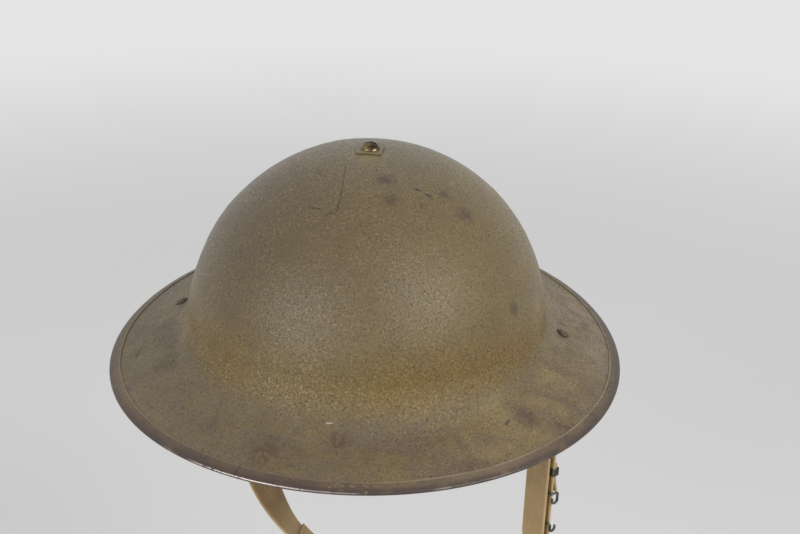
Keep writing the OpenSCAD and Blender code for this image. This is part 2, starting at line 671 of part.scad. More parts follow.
module wire_hook(d, shank, tip, drop) {
    color("#4a4d45") on_right_strap(d) {
        rotate([90, 0, 0]) cylinder(h = 2 * hook_half, r = hook_d / 2, center = true, $fn = 24);
        for (s = [-1, 1]) translate([0, s * hook_half, 0]) {
            hook_side(shank, tip, drop);
            sphere(r = hook_d / 2, $fn = 24);
        }
    }
}
module upper_hook() { wire_hook(hook_at + upper_at, hook_seat + 2 * hook_r, hook_seat, 5.5); }
module lower_hook() { wire_hook(hook_at + lower_at, hook_seat, hook_seat + 2 * hook_r, 3.6); }

// Left strap: a reference line runs from bar to bar, straight and then curved
curve_r = left_curve * 180 / PI / (left_end_slant - left_slant);
function left_a(s) = s < left_straight ? left_slant
    : left_slant + (left_end_slant - left_slant) * (s - left_straight) / left_curve;
left_knee = [-pivot_x, bar_z] + left_straight * [sin(left_slant), -cos(left_slant)];
function left_line(s) = s < left_straight
    ? [-pivot_x, bar_z] + s * [sin(left_slant), -cos(left_slant)]
    : left_knee + curve_r * [cos(left_slant) - cos(left_a(s)), sin(left_slant) - sin(left_a(s))];
left_length = left_straight + left_curve;
tail_l = 22;
twist_l = 80;
untwist_l = 50;
function left_twist(s) = left_turn * smooth((s - tail_l) / twist_l)
    * (1 - smooth((s - left_straight) / untwist_l));
function left_ring(s, off, flip) = let (a = left_a(s), g = left_twist(s), p = left_line(s),
    n0 = [cos(a), 0, sin(a)], w = [0, cos(g), 0] + sin(g) * n0, n = cos(g) * n0 - [0, sin(g), 0])
    web_ring([p[0], rivet_y, p[1]] + off * n, w, n * flip, web_w / 2);
ring_bar = left_line(left_length);
left_end_a = left_a(left_length);
function turn_ring(c, a, r) = let (n = [cos(a), 0, sin(a)])
    web_ring([c[0], rivet_y, c[1]] + r * n, [0, 1, 0], n, web_w / 2);
module strap_left() {
    tail_off = ply_gap + web_t - loop_r;
    ring_off = ply_gap + web_t - ring_loop_r;
    rings = concat(
        [for (s = [tail_l:-4:2]) left_ring(s, mix(loop_r, tail_off, s / pinch_l), 1)],
        [for (g = [left_slant:20:left_slant + 180]) turn_ring([-pivot_x, bar_z], g, loop_r)],
        [for (s = [4:4.5:left_length - 3]) left_ring(s, -mix(loop_r, ring_loop_r, s / left_length), -1)],
        [for (g = [left_end_a + 180:20:left_end_a + 360]) turn_ring(ring_bar, g, ring_loop_r)],
        [for (s = [2:3:17]) left_ring(left_length - s, mix(ring_loop_r, ring_off, s / 8), 1)]);
    color("#9c8254") swept(rings);
}

// Rectangular wire ring at the end of the left strap, for the hooks of the right one
module catch_ring() {
    color("#4a4d45") translate([ring_bar[0], rivet_y, ring_bar[1]]) rotate([0, -left_end_a, 0])
        wire_loop(web_w / 2 + 1.2 + ring_d / 2, ring_l, ring_d);
}

shell();
rim_band();
crown_plate();
crown_screw();
crown_washer();
crown_nut();
long_spring();
cross_spring();
head_hoop();
arm_rivets();
crown_pad();
pad_rivets();
sweatband();
liner_tongues();
liner_lace();
bail_clip_right();
bail_clip_left();
bail_rivet_right();
bail_rivet_left();
bail_right();
bail_left();
strap_right();
strap_left();
hook_tab();
strap_clamp();
upper_hook();
lower_hook();
catch_ring();
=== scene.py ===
"""Looks of the wide-brimmed steel helmet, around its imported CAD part.

Surfaces are worked out in millimetres, in the part's frame, and written to the meshes in metres.
"""
import math

import bpy
import numpy as np
from mathutils import Matrix, Vector


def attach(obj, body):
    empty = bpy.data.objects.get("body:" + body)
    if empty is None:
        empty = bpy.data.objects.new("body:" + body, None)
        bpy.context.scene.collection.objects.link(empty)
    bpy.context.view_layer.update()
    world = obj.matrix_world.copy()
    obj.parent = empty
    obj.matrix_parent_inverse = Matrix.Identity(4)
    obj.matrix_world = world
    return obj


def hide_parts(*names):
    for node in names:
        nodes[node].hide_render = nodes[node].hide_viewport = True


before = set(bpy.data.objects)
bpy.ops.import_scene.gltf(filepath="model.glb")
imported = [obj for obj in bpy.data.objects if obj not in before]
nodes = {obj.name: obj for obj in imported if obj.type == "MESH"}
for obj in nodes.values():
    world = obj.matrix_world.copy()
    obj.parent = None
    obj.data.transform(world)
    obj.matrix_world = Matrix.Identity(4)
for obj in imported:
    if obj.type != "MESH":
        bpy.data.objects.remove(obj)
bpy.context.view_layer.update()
MM = 0.001
TAU = 2 * np.pi
UPWARD = np.array([0, 0, 1.0])

# Sizes of the part in mm, as in its source, and angles

HELMET_W, HELMET_L, HELMET_H = 292, 311.2, 116.5
BOWL_W, BOWL_L, BOWL_FOOT = 101.8, 110.8, 17
BOWL_H, FLARE_FROM, FLARE_SIDE = HELMET_H - BOWL_FOOT, math.radians(79), math.radians(85)
SLOPE = math.radians(22)
RIM_DIP, STEEL_T = 2.5, 1
BAND_W, BAND_T, SHEET_GAP, BAND_SEAT = 5.6, 0.5, 0.05, 0.35
BAND_IN = STEEL_T / 2 + SHEET_GAP
BAND_OUT = BAND_IN + BAND_T
EDGE_W = HELMET_W / 2 - (BAND_SEAT + BAND_OUT) * math.cos(SLOPE)
EDGE_L = HELMET_L / 2 - (BAND_SEAT + BAND_OUT) * math.cos(SLOPE)
# the band's butt joint: its direction, and half its gap as an angle
JOINT_A, JOINT_HALF = math.radians(255), 0.15 / 150
RIVET_X, RIVET_Y = 112.2, 4.5
PLATE_W, PLATE_T, PLATE_BALL, HEAD_D, HEAD_H = 14, 1.1, 118, 10.8, 3.4
SLOT_W, SLOT_DEEP, SCREW_D, SCREW_TIP = 1.3, 1.2, 4, HELMET_H - 11.6
HOOP_W, HOOP_L, HOOP_Z, HOOP_H, HOOP_T = 86, 104, 3, 14, 0.8
SPRING_W, SPRING_T, SPRING_FLAT = 16, 0.8, 9
WASHER_D, WASHER_T, NUT_W = 14, 2.5, 8
# the crown falls over the washer by the first of the 14 steps of the CAD's curve
CROWN_SAG = WASHER_D / 2 * math.tan(FLARE_SIDE / 2 / 14) * BOWL_H / BOWL_W
LONG_TOP = HELMET_H - STEEL_T - CROWN_SAG - SHEET_GAP - WASHER_T
CROSS_TOP = LONG_TOP - SPRING_T
NUT_TOP = CROSS_TOP - SPRING_T
WEB_W, WEB_T, SOFT_GAP, PLY_GAP = 19, 1.8, 0.3, 0.2
LEATHER_T, LEATHER_TOP, BAND_FACE = 1.5, HOOP_Z + 27, HOOP_T + 0.92
LEATHER_FOOT = HOOP_Z - SOFT_GAP - LEATHER_T
TONGUES, TONGUE_RISE, TONGUE_SEAM, TONGUE_END = 8, 62, 12, math.radians(66)
TONGUE_OFF = BAND_FACE + LEATHER_T + 2 * SHEET_GAP
# half the gap between two tongues at the band, what each edge draws in by, and the tip's clipping
TONGUE_GAP, TONGUE_TAPER, TIP_CUT = math.radians(1.2), math.radians(3.2), 0.26
LACE_V, LACE_D, HOLE_R = 0.93, 2, 2.2
PAD_R, PAD_T, PAD_DROP = 30, 10, 4.6
BAIL_D, BAIL_DROP, RING_D, HOOK_D = 2.4, 12, 2, 1.6
CLIP_T, CLIP_DROP, CLIP_PLAY, CURL_BACK = 1, 0.25, 0.05, 6.5
# both straps: radius of the middle line round a bar, and lengths from the bar
LOOP_R = BAIL_D / 2 + SOFT_GAP + WEB_T / 2
RING_LOOP_R = RING_D / 2 + SOFT_GAP + WEB_T / 2
RIGHT_TURN, INNER_LEG, OUTER_LEG, SEWN_END, TURN_RUN = math.radians(42), 139, 160, 26, 45
SEWN_OFF = (WEB_T + PLY_GAP) / 2
HANG_OFF = (WEB_T + HOOK_D + 2 * SOFT_GAP + 0.4) / 2
OUTER_FACE = HANG_OFF + WEB_T / 2
TAB_FACE = OUTER_FACE + WEB_T + PLY_GAP
CLAMP_AT, TAB_FOOT = 79, 96  # along the right strap
LEFT_STRAIGHT, LEFT_CURVE, LEFT_TURN = 112, 66, math.radians(41)
LEFT_SLANT, LEFT_END = math.radians(20), math.radians(46)
LEFT_LENGTH, CURVE_R = LEFT_STRAIGHT + LEFT_CURVE, LEFT_CURVE / (LEFT_END - LEFT_SLANT)
# where stitches lie over the webbing's width
ACROSS, EDGES = np.arange(-7.4, 7.5, 3.7), (-7.6, 7.6)
# the webbing's ribs and picks, and the size of the grit in the paint
RIB, PICK, GRIT = 1.1, 0.9, 1.15
FLOOR_Z, FLOOR_REACH = -0.4, 7.0
LAMP_SIZE, LAMP_FAR = 0.6, 1.7


# Meshes

def coords(*parts):
    """Points from their coordinates, each a number or an array."""
    return np.stack(np.broadcast_arrays(*parts), -1)


def turns(count):
    """Directions once round, evenly spaced."""
    return np.arange(count) * TAU / count


def quads(m, n, closed_rows=False, closed=True):
    """Corner numbers of the quads of m rows of n points, which may close in either direction."""
    i, j = np.meshgrid(np.arange(m - (not closed_rows)), np.arange(n - (not closed)), indexing="ij")
    k, u = (j + 1) % n, (i + 1) % m
    return np.stack([i * n + j, i * n + k, u * n + k, u * n + j], -1).reshape(-1, 4)


def trimmed(points, faces):
    """Leaves out the points that no face uses, and numbers the others anew."""
    used = np.unique([v for face in faces for v in face])
    where = np.zeros(len(points), int)
    where[used] = np.arange(len(used))
    return points[used], [where[face].tolist() for face in faces]


def skin(rows, closed_rows=False, ends="flat"):
    """Faces of a grid of closed rings: quads between neighbouring rings, and a lid on each end.

    ends is "flat" for lids of one face, "point" where the end rings are each a single point.
    """
    m, n = rows.shape[:2]
    points, faces = rows.reshape(-1, 3), quads(m, n, closed_rows)
    if closed_rows:
        return points, faces.tolist()
    last = (m - 1) * n
    if ends == "flat":
        return points, faces.tolist() + [list(range(n))[::-1], list(range(last, m * n))]
    faces = faces[n:-n].tolist() + [[n + s, n + (s + 1) % n, 0] for s in range(n)]
    faces += [[last, last - n + s, last - n + (s + 1) % n] for s in range(n)]
    return trimmed(points, faces)


def volume(points, faces):
    """Signed volume of a closed mesh: the sum of the fans of its faces against the origin."""
    total = 0.0
    for size in {len(face) for face in faces}:
        p = points[np.array([face for face in faces if len(face) == size])]
        for s in range(1, size - 1):
            total += (p[:, 0] * np.cross(p[:, s], p[:, s + 1])).sum() / 6
    return total


def piece(name, shells, body, finish, replaces=(), smooth=35, uv=None, marks=None,
          closed=True):
    """One object from shells in mm, with its finish, its body and the CAD nodes it stands for.

    Closed shells are turned so that their faces point outwards. Edges sharper than smooth degrees
    stay sharp. uv, in mm, and marks belong to the points.
    """
    points, faces, base = [], [], 0
    for p, f in shells:
        step = -1 if closed and volume(p, f) < 0 else 1
        faces += [[v + base for v in face[::step]] for face in f]
        points.append(p)
        base += len(p)
    mesh = bpy.data.meshes.new(name)
    mesh.from_pydata((np.concatenate(points) * MM).tolist(), [], faces)
    mesh.update()
    if uv is not None:
        layer = mesh.uv_layers.new(name="weave")
        index = np.zeros(len(mesh.loops), int)
        mesh.loops.foreach_get("vertex_index", index)
        layer.data.foreach_set("uv", (uv[index] * MM).ravel())
    for mark, values in (marks or {}).items():
        layer = mesh.attributes.new(mark, "FLOAT", "POINT")
        layer.data.foreach_set("value", values.astype(np.float32))
    obj = bpy.data.objects.new(name, mesh)
    bpy.context.collection.objects.link(obj)
    mesh.materials.append(finish)
    mesh.shade_smooth()
    mesh.set_sharp_from_angle(angle=math.radians(smooth))
    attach(obj, body)
    if replaces:
        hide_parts(*replaces)
    return obj


def rounded(width, height, radius, steps=3, along=0):
    """A rectangle with rounded corners, as a closed profile; along adds points on two sides."""
    w, h = width / 2 - radius, height / 2 - radius
    corner = np.linspace(0, np.pi / 2, steps + 1)
    out = []
    for q, (cx, cy) in enumerate([(w, h), (-w, h), (-w, -h), (w, -h)]):
        a = corner + q * np.pi / 2
        out.append(coords(cx + radius * np.cos(a), cy + radius * np.sin(a)))
        if q % 2 == 0:
            out.append(coords(np.linspace(cx, -cx, along + 2)[1:-1], (h + radius) * (1 - q)))
    return np.concatenate(out)


def carry(path, side, up, profile, widen=1.0):
    """A profile carried along a path: each ring is path + side * widen * x + up * y."""
    x, y = profile[:, :1] * np.reshape(widen, (-1, 1, 1)), profile[:, 1:]
    return path[:, None] + side[..., None, :] * x + up[..., None, :] * y


def distance(path):
    """How far along a path each of its points lies."""
    return np.cumsum(np.r_[0, np.linalg.norm(np.diff(path, axis=0), axis=1)])


def unit(v):
    """Vectors divided by their lengths."""
    return v / np.linalg.norm(v, axis=-1, keepdims=True)


def smooth_step(t):
    """0 up to t = 0 and 1 from t = 1, with a cubic between that starts and ends level."""
    t = np.clip(t, 0, 1)
    return t * t * (3 - 2 * t)


def blend(a, b, t):
    """From a at t = 0 to b at t = 1, by the smooth step."""
    return a + (b - a) * smooth_step(t)


def waves(a, v, seed, count=7, top=9):
    """A gentle irregular field, about 1 in size: a sum of seeded sines in two directions."""
    draw = np.random.default_rng(seed)
    total = 0
    for _ in range(count):
        across, along = draw.integers(1, top) * a, draw.uniform(1, top) * v
        total = total + np.sin(across + along + draw.uniform(0, TAU))
    return total / math.sqrt(count)


# The shell's shape

def oval(a, w, l):
    """Radius of an ellipse in the direction a."""
    return 1 / np.sqrt((np.cos(a) / w) ** 2 + (np.sin(a) / l) ** 2)


def edge_r(a):
    """Radius of the steel's edge in the direction a."""
    return oval(a, EDGE_W, EDGE_L)


def turned(a, r, z):
    """A section point in space; the rim dips at the sides with the fourth power of the radius."""
    return coords(r * np.cos(a), r * np.sin(a), z - RIM_DIP * (r / edge_r(a)) ** 4 * np.cos(2 * a))


def bowl_normal(a, f):
    """Outward normal of the bowl's curve, in radius and height, f down from the crown."""
    return unit(coords(np.sin(f) / oval(a, BOWL_W, BOWL_L), np.cos(f) / BOWL_H))


def dome(a, f, d):
    """Quarter ellipse from the crown (f = 0) to the flare, moved out along its normal by d."""
    n = bowl_normal(a, f)
    r, z = oval(a, BOWL_W, BOWL_L) * np.sin(f), BOWL_FOOT + BOWL_H * np.cos(f)
    return r + d * n[..., 0], z + d * n[..., 1]


def flare_start(a):
    """How far down the bowl's curve the flare starts: lower at the sides than at front and back."""
    return FLARE_FROM + (FLARE_SIDE - FLARE_FROM) * np.cos(a) ** 2


def flare_arc(a):
    """The arc that touches the bowl's curve and the brim: its hub, radius and first angle."""
    r, z = dome(a, flare_start(a), 0)
    n = bowl_normal(a, flare_start(a))
    lean = n[..., 0] * math.sin(SLOPE) + n[..., 1] * math.cos(SLOPE)
    radius = ((r - edge_r(a)) * math.sin(SLOPE) + z * math.cos(SLOPE)) / (1 - lean)
    return r + radius * n[..., 0], z + radius * n[..., 1], radius, np.arctan2(n[..., 1], n[..., 0])


def flare(a, k, d):
    """The flare's arc, from the bowl (k = 0) to the brim's slope (k = 1)."""
    r, z, radius, start = flare_arc(a)
    g = start + k * (np.pi / 2 - SLOPE - start)
    return r - (radius - d) * np.cos(g), z - (radius - d) * np.sin(g)


def brim(a, k, d):
    """Straight slope from the flare's end (k = 0) to the edge (k = 1)."""
    r0, z0 = flare(a, 1, 0)
    return r0 + k * (edge_r(a) - r0) + d * math.sin(SLOPE), z0 - k * z0 + d * math.cos(SLOPE)


def steel_shell():
    """Both faces of the steel: rows of dome, flare and brim round the axis, joined at the edge.

    The steel wanders by up to a quarter of a millimetre, as pressed and used sheet does, but not at
    the edge, the rivets or the crown plate.
    """
    a = turns(288)
    stretches = (dome, 60), (flare, 24), (brim, 20)
    v = np.linspace(0, 1, sum(count for _, count in stretches))[:, None]
    calm = smooth_step((v - 0.03) / 0.1) * smooth_step((0.97 - v) / 0.06)
    calm = calm * np.where(v > 0.7, np.minimum(np.abs(np.sin(a)) * 8, 1), 1)
    wander = calm * (0.2 * waves(a, TAU * v, 5, 9, 6) + 0.05 * waves(a, TAU * v * 3, 8, 12, 22))
    rows = []
    for d in (0, -STEEL_T):
        start = 0
        for shape, count in stretches:
            k = np.linspace(0, 1, count + 1)[1:, None] * (flare_start(a) if shape is dome else 1)
            rows.append(turned(a, *shape(a, k, wander[start:start + count] + d)))
            start += count
    outer, inner = np.concatenate(rows).reshape(2, -1, len(a), 3)
    top, low = (np.tile(UPWARD * h, (1, len(a), 1)) for h in (HELMET_H, HELMET_H - STEEL_T))
    return skin(np.concatenate([top, outer, inner[::-1], low]), ends="point")


def rim_binding():
    """The folded band's section carried round the edge, open at its butt joint, a little uneven.

    Also gives marks for the paint: worn rises to 1 on the fold, edge is 1 on a line on its upper
    shoulder, lip is 1 on the raised inner edge of the upper face, where a pale line of worn paint
    and painted highlight goes, under is 1 where the fold turns under, less below and inside, and
    carries painted shade.
    """
    a = np.linspace(JOINT_A + JOINT_HALF, JOINT_A + TAU - JOINT_HALF, 540)[:, None]
    fold = np.linspace(np.pi / 2, -np.pi / 2, 13)
    bore = fold[::-2]
    flat = np.linspace(-BAND_W + 1.2, -1, 4)
    nip = 0.14
    inmost = -BAND_W + nip
    section = np.concatenate([
        [[-BAND_W, BAND_IN + nip], [-BAND_W, BAND_OUT - nip], [inmost, BAND_OUT]],
        coords(flat, BAND_OUT),
        coords(BAND_SEAT + BAND_OUT * np.cos(fold), BAND_OUT * np.sin(fold)),
        coords(flat[::-1], -BAND_OUT),
        [[inmost, -BAND_OUT], [-BAND_W, nip - BAND_OUT],
         [-BAND_W, -BAND_IN - nip], [inmost, -BAND_IN]],
        coords(BAND_SEAT + BAND_IN * np.cos(bore), BAND_IN * np.sin(bore)),
        [[inmost, BAND_IN]]])
    # 7 points of the upper face, then the fold, then the lower face and the inside
    worn, edge, lip, under = marks = np.zeros((4, len(section)))
    on_fold, after = slice(7, 7 + len(fold)), 7 + len(fold)
    worn[5:7], worn[on_fold] = (0.25, 0.7), 1
    edge[on_fold] = np.exp(-((fold - 0.8) / 0.24) ** 2)
    # lip carries a pale line: worn paint, and a painted highlight on the raised edge
    lip[:3] = 1
    # under carries painted shade on the underside of the fold and inside the band
    under[on_fold] = smooth_step(0.6 - 1.3 * np.sin(fold))
    under[after:] = 0.35
    under[after:after + 2] = 0.8, 0.45
    t, n = section.T
    t = t - np.clip(-t / BAND_W, 0, 1) ** 3 * 0.08 * waves(a, 0 * t, 21, 9, 24)
    press = 0.07 * waves(a, 0 * t, 33, 14, 90)
    n = n * (1 + press * np.clip(1 - np.abs(t) / 4, 0, 1) * 0.6) - STEEL_T / 2
    r = edge_r(a) + t * math.cos(SLOPE) + n * math.sin(SLOPE)
    shape = skin(turned(a, r, n * math.cos(SLOPE) - t * math.sin(SLOPE)))
    names = "worn", "edge", "lip", "under"
    return shape, {name: np.tile(mark, len(a)) for name, mark in zip(names, marks)}


def crown_plate():
    """Square plate pressed to the crown's curve: rings along y, each a rounded strip across x."""
    y = PLATE_W / 2 * np.array([[-1, -0.985, -0.95, -0.6, -0.3, 0, 0.3, 0.6, 0.95, 0.985, 1]]).T
    thick = PLATE_T * np.array([[0.55, 0.85, 1, 1, 1, 1, 1, 1, 1, 0.85, 0.55]]).T
    profile = rounded(PLATE_W, 1, 0.3, 3, 9)
    x = profile[:, 0] * np.where(thick < PLATE_T, 0.98, 1)
    low = HELMET_H + SHEET_GAP - (x ** 2 + y ** 2) / (2 * PLATE_BALL)
    return skin(coords(x, y, low + PLATE_T / 2 + profile[:, 1] * thick))


def screw_head():
    """Domed head with a slot: rings along y whose top follows a ball, let down in the slot."""
    radius = HEAD_D / 2
    ball = (radius ** 2 + HEAD_H ** 2) / (2 * HEAD_H)
    seat = HELMET_H + 2 * SHEET_GAP + PLATE_T
    edge = SLOT_W / 2
    y = radius * np.sin(np.linspace(-np.pi / 2, -0.15, 16))
    y = np.r_[y[y < -edge - 0.13], -edge - 0.13, -edge - 0.02, -edge, -edge + 0.03, 0]
    y = np.r_[y, -y[-2::-1]][:, None]
    x = np.sin(np.linspace(-np.pi / 2, np.pi / 2, 33)) * np.sqrt(np.maximum(radius ** 2 - y * y, 0))
    top = seat + HEAD_H - ball + np.sqrt(ball ** 2 - x ** 2 - y * y)
    top = np.maximum(top - 0.05 * smooth_step((np.hypot(x, y) - radius + 0.5) / 0.5), seat)
    # the slot's floor, and its softened edges
    top = np.where(np.abs(y) < edge - 0.001, np.minimum(top, seat + HEAD_H - SLOT_DEEP),
                   top - 0.08 * (np.abs(y) < edge + 0.05))
    rows = np.concatenate([coords(x, y, top), coords(x[:, ::-1], y, seat)], 1)
    rows[[0, -1]] = rows[[0, -1]].mean(1, keepdims=True)
    g = turns(24)
    r, z = np.array([[0.8, SCREW_TIP], [1, SCREW_TIP + 0.4], [1, seat + 0.5]]).T[..., None]
    shank = coords(r * np.cos(g) * SCREW_D / 2, r * np.sin(g) * SCREW_D / 2, z)
    return [skin(rows, ends="point"), skin(shank)]


# The liner

def spring_strip(half, top, turn):
    """A strip of spring steel with rounded edges; turn lays it front to back.

    Its middle line is an upright foot, a quarter ellipse up to the screw's flat, and back down.
    """
    h = HOOP_Z + HOOP_H
    f = np.linspace(np.pi / 2, 0, 40)
    foot, crest = half + SPRING_T / 2, top - SPRING_T / 2
    x = np.r_[foot, foot, SPRING_FLAT + (foot - SPRING_FLAT) * np.sin(f), 0]
    z = np.r_[HOOP_Z + 5, h - 3, h + (crest - h) * np.cos(f), crest]
    path = coords(np.r_[x, -x[-2::-1]], 0, np.r_[z, z[-2::-1]])
    side = np.array([0, 1.0, 0])
    up = np.cross(unit(np.gradient(path, axis=0)), side)
    rows = carry(path, side, up, rounded(SPRING_W, SPRING_T, 0.3, 2))
    if turn:
        rows = coords(-rows[..., 1], rows[..., 0], rows[..., 2])
    return skin(rows)


def on_hoop(a, off, z):
    """Points at a height, outwards from the hoop's ellipse by off."""
    return coords((HOOP_W + off) * np.cos(a), (HOOP_L + off) * np.sin(a), z)


def head_hoop():
    """Oval strip on edge: a rounded section in radius and height, carried round the ellipse."""
    off, z = rounded(HOOP_T, HOOP_H, 0.3, 2).T
    rows = on_hoop(turns(180)[:, None], off - HOOP_T / 2, z + HOOP_Z + HOOP_H / 2)
    return skin(rows, closed_rows=True)


def sweatband():
    """Leather folded under the hoop: a J-shaped section round the ellipse, its top uneven."""
    lip, face = SOFT_GAP + LEATHER_T, -BAND_FACE
    back = face - LEATHER_T
    bend = np.linspace(0, np.pi / 2, 5)
    off, z = np.concatenate([
        [[lip - 0.3, HOOP_Z + 4.4], [lip, HOOP_Z + 4]],
        coords(lip - 1.2 + 1.2 * np.cos(bend), LEATHER_FOOT + 1.2 - 1.2 * np.sin(bend)),
        coords(back + 1.4 - 1.4 * np.sin(bend), LEATHER_FOOT + 1.4 - 1.4 * np.cos(bend)),
        coords(back, np.linspace(LEATHER_FOOT + 4, LEATHER_TOP - 0.4, 6)),
        [[back + 0.4, LEATHER_TOP], [face - 0.4, LEATHER_TOP], [face, LEATHER_TOP - 0.4]],
        coords(face, [LEATHER_TOP - 8, LEATHER_TOP - 16, LEATHER_FOOT + LEATHER_T]),
        coords(SOFT_GAP, [LEATHER_FOOT + LEATHER_T, HOOP_Z + 4]),
        [[SOFT_GAP + 0.3, HOOP_Z + 4.4]]]).T
    a = turns(288)[:, None]
    lift = np.clip((z - 12) / 18, 0, 1)
    z = z + lift * 0.35 * waves(a, 0 * z, 41, 9, 14)
    off = off - lift * 0.25 * (1 + waves(a, 0 * z, 43, 9, 12)) * (off < 0)
    return skin(on_hoop(a, off, z), closed_rows=True)


def tongue_point(a, v, d):
    """Where a tongue lies: an ellipse that closes in and rises from band (v = 0) to tip (v = 1)."""
    f = TONGUE_END * v
    w, l = ((half - TONGUE_OFF - d) * np.cos(f) for half in (HOOP_W, HOOP_L))
    z = LEATHER_TOP - TONGUE_SEAM + (TONGUE_RISE + TONGUE_SEAM - d) * np.sin(f)
    return coords(w * np.cos(a), l * np.sin(a), z)


def tongue(k):
    """One leather tongue with two punched holes: a grid in angle and rise.

    Points near a hole are drawn to its edge, and the faces inside it are left out.
    """
    a0 = (k + 0.5) * TAU / TONGUES
    v = np.linspace(0, 1, 65)[:, None]
    half = math.pi / TONGUES - TONGUE_GAP - TONGUE_TAPER * np.sin(np.pi / 2 * v)
    half = half * (1 - TIP_CUT * smooth_step((v - 0.86) / 0.14) ** 1.5)
    s = np.linspace(-1, 1, 45)
    a = a0 + half * s
    v = np.tile(v, len(s))
    v[-4:] -= 0.03 * s ** 4 * np.array([0.2, 0.45, 0.7, 1])[:, None]
    curl = 0.35 * smooth_step((v - 0.2) / 0.6) * waves(a * 3, v * 5, 50 + k, 6, 4)
    points = tongue_point(a, v, LEATHER_T / 2 + curl)
    gone = np.zeros(a.shape, bool)
    for sign in (-1, 1):
        centre = tongue_point(a0 + sign * math.pi / 2 / TONGUES, LACE_V, LEATHER_T / 2)
        away = points - centre
        dist = np.linalg.norm(away, axis=-1, keepdims=True)
        inside = dist < HOLE_R - 0.55
        gone |= inside[..., 0]
        points = np.where(~inside & (dist < HOLE_R + 0.45), centre + unit(away) * HOLE_R, points)
    faces = quads(*a.shape, closed=False)
    return trimmed(points.reshape(-1, 3), faces[~gone.ravel()[faces].any(1)])


def lace():
    """The lace goes once round the tongues at one height, out and in through their holes.

    It is a closed cord of three strands: a round section with three lobes, which turn along it.
    """
    p = np.arange(0, TONGUES, 1 / 32)
    swing = np.sin(TAU * p)
    side = np.clip(swing * 6, -1, 1) * (1 - 0.08 * swing ** 2)
    off = LEATHER_T / 2 - (LEATHER_T / 2 + LACE_D / 2 + 0.15) * side
    path = tongue_point((p + 0.25) * TAU / TONGUES, LACE_V, off)
    along = unit(np.roll(path, -1, 0) - np.roll(path, 1, 0))
    side = unit(np.cross(along, UPWARD) + 1e-9)
    g = turns(12)
    r = LACE_D / 2 * (1 + 0.1 * np.cos(3 * (g - 0.55 * distance(path)[:, None])))
    ring = carry(0 * path, side, np.cross(side, along), coords(np.cos(g), np.sin(g)))
    return skin(path[:, None] + r[..., None] * ring, closed_rows=True)


def felt_pad():
    """Felt disc with a hole: its section turned about the axis, swollen between the rivets."""
    top, hole = NUT_TOP - SOFT_GAP, NUT_W * 0.75 + 1
    low = top - PAD_T
    k = np.linspace(0.15, 0.9, 9)
    g = np.radians(np.linspace(70, -90, 9))
    r, z = np.concatenate([
        [[hole, low + 1.2], [hole, top - 5], [hole, top - 0.8], [hole + 0.6, top - 0.1]],
        coords(hole + (PAD_R - hole) * k, top - PAD_DROP * k * k),
        coords(PAD_R - 3 + 3 * np.cos(g), top - PAD_DROP - PAD_T / 2 * (1 - np.sin(g)) + 1.2),
        [[PAD_R - 9, low - 3.4], [hole + 8, low - 1.6], [hole + 3, low - 0.8],
         [hole + 1, low + 0.1]]]).T
    a = turns(144)[:, None]
    near = np.exp(-((r - 20) / 4) ** 2) * np.exp(-(np.sin(2 * a) * r / 7) ** 2)
    swell = 1.3 * near + 0.3 * waves(a, r / 7, 61, 8, 7)
    z = z + smooth_step((top - 6 - z) / 4) * swell
    r = r + 0.35 * smooth_step((r - 22) / 6) * waves(a, z / 5, 62, 8, 9)
    return skin(coords(r * np.cos(a), r * np.sin(a), z), closed_rows=True)


# The straps

def clip_place():
    """The bail's pivot under its clip, in x and z, and the brim's height at the side rivets.

    The rivet stands square to the brim, on the flare's arc or past it, where the rim's dip adds to
    the slope; the pivot lies down that line and back from the rivet.
    """
    a, rho = math.atan2(RIVET_Y, RIVET_X), math.hypot(RIVET_X, RIVET_Y)
    hub_r, hub_z, radius, _ = (float(v) for v in flare_arc(a))
    edge = float(edge_r(a))
    turn = min(math.pi / 2 - SLOPE, math.acos((hub_r - rho) / radius))
    past = rho - hub_r + radius * math.cos(turn)
    dip = RIM_DIP * (rho / edge) ** 4 * math.cos(2 * a)
    z = hub_z - radius * math.sin(turn) - past * math.tan(SLOPE) - dip
    tilt = math.pi / 2 - turn + math.atan(4 * RIM_DIP * rho ** 3 / edge ** 4)
    down = STEEL_T + CLIP_DROP + BAIL_D / 2 + CLIP_PLAY + CLIP_T
    return (RIVET_X - CURL_BACK * math.cos(tilt) - down * math.sin(tilt),
            z + CURL_BACK * math.sin(tilt) - down * math.cos(tilt), z)


PIVOT_X, PIVOT_Z, RIVET_Z = clip_place()
BAR_Z = PIVOT_Z - BAIL_DROP


def right_frame(d):
    """Middle, normal and width direction of the right strap at a distance below its bar."""
    k = smooth_step((d - SEWN_END) / TURN_RUN)
    c, s = np.cos(RIGHT_TURN * k), np.sin(RIGHT_TURN * k)
    return coords(PIVOT_X + 1.7 * k, RIVET_Y, BAR_Z - d), coords(c, s, 0), coords(-s, c, 0)


def right_leg(length, sign):
    """Path, side, normal and width of one leg, sewn at its top and rounded at its end."""
    tip = np.array([9.5, 8, 6.5, 5, 3.8, 2.8, 1.9, 1.2, 0.6, 0.25, 0.03])
    d = np.r_[np.arange(0, length - 10, 1.5), length - tip]
    mid, n, w = right_frame(d)
    off = np.where(d < SEWN_END, blend(LOOP_R, SEWN_OFF, d / 9),
                   blend(SEWN_OFF, HANG_OFF, (d - SEWN_END) / 42))
    if sign > 0:
        off = off + 1.5 * smooth_step((d - 122) / 38)
    r = WEB_W / 2
    cut = r - np.clip(length - d, 0.02, r)
    return mid + sign * off[:, None] * n, w, sign * n, np.sqrt(r * r - cut ** 2) / r


def round_bar(centre, g, r):
    """Path, side, normal and width of webbing turned round a bar along y."""
    n = coords(np.cos(g), 0, np.sin(g))
    return centre + r * n, np.tile([0, 1.0, 0], (len(g), 1)), n, np.ones(len(g))


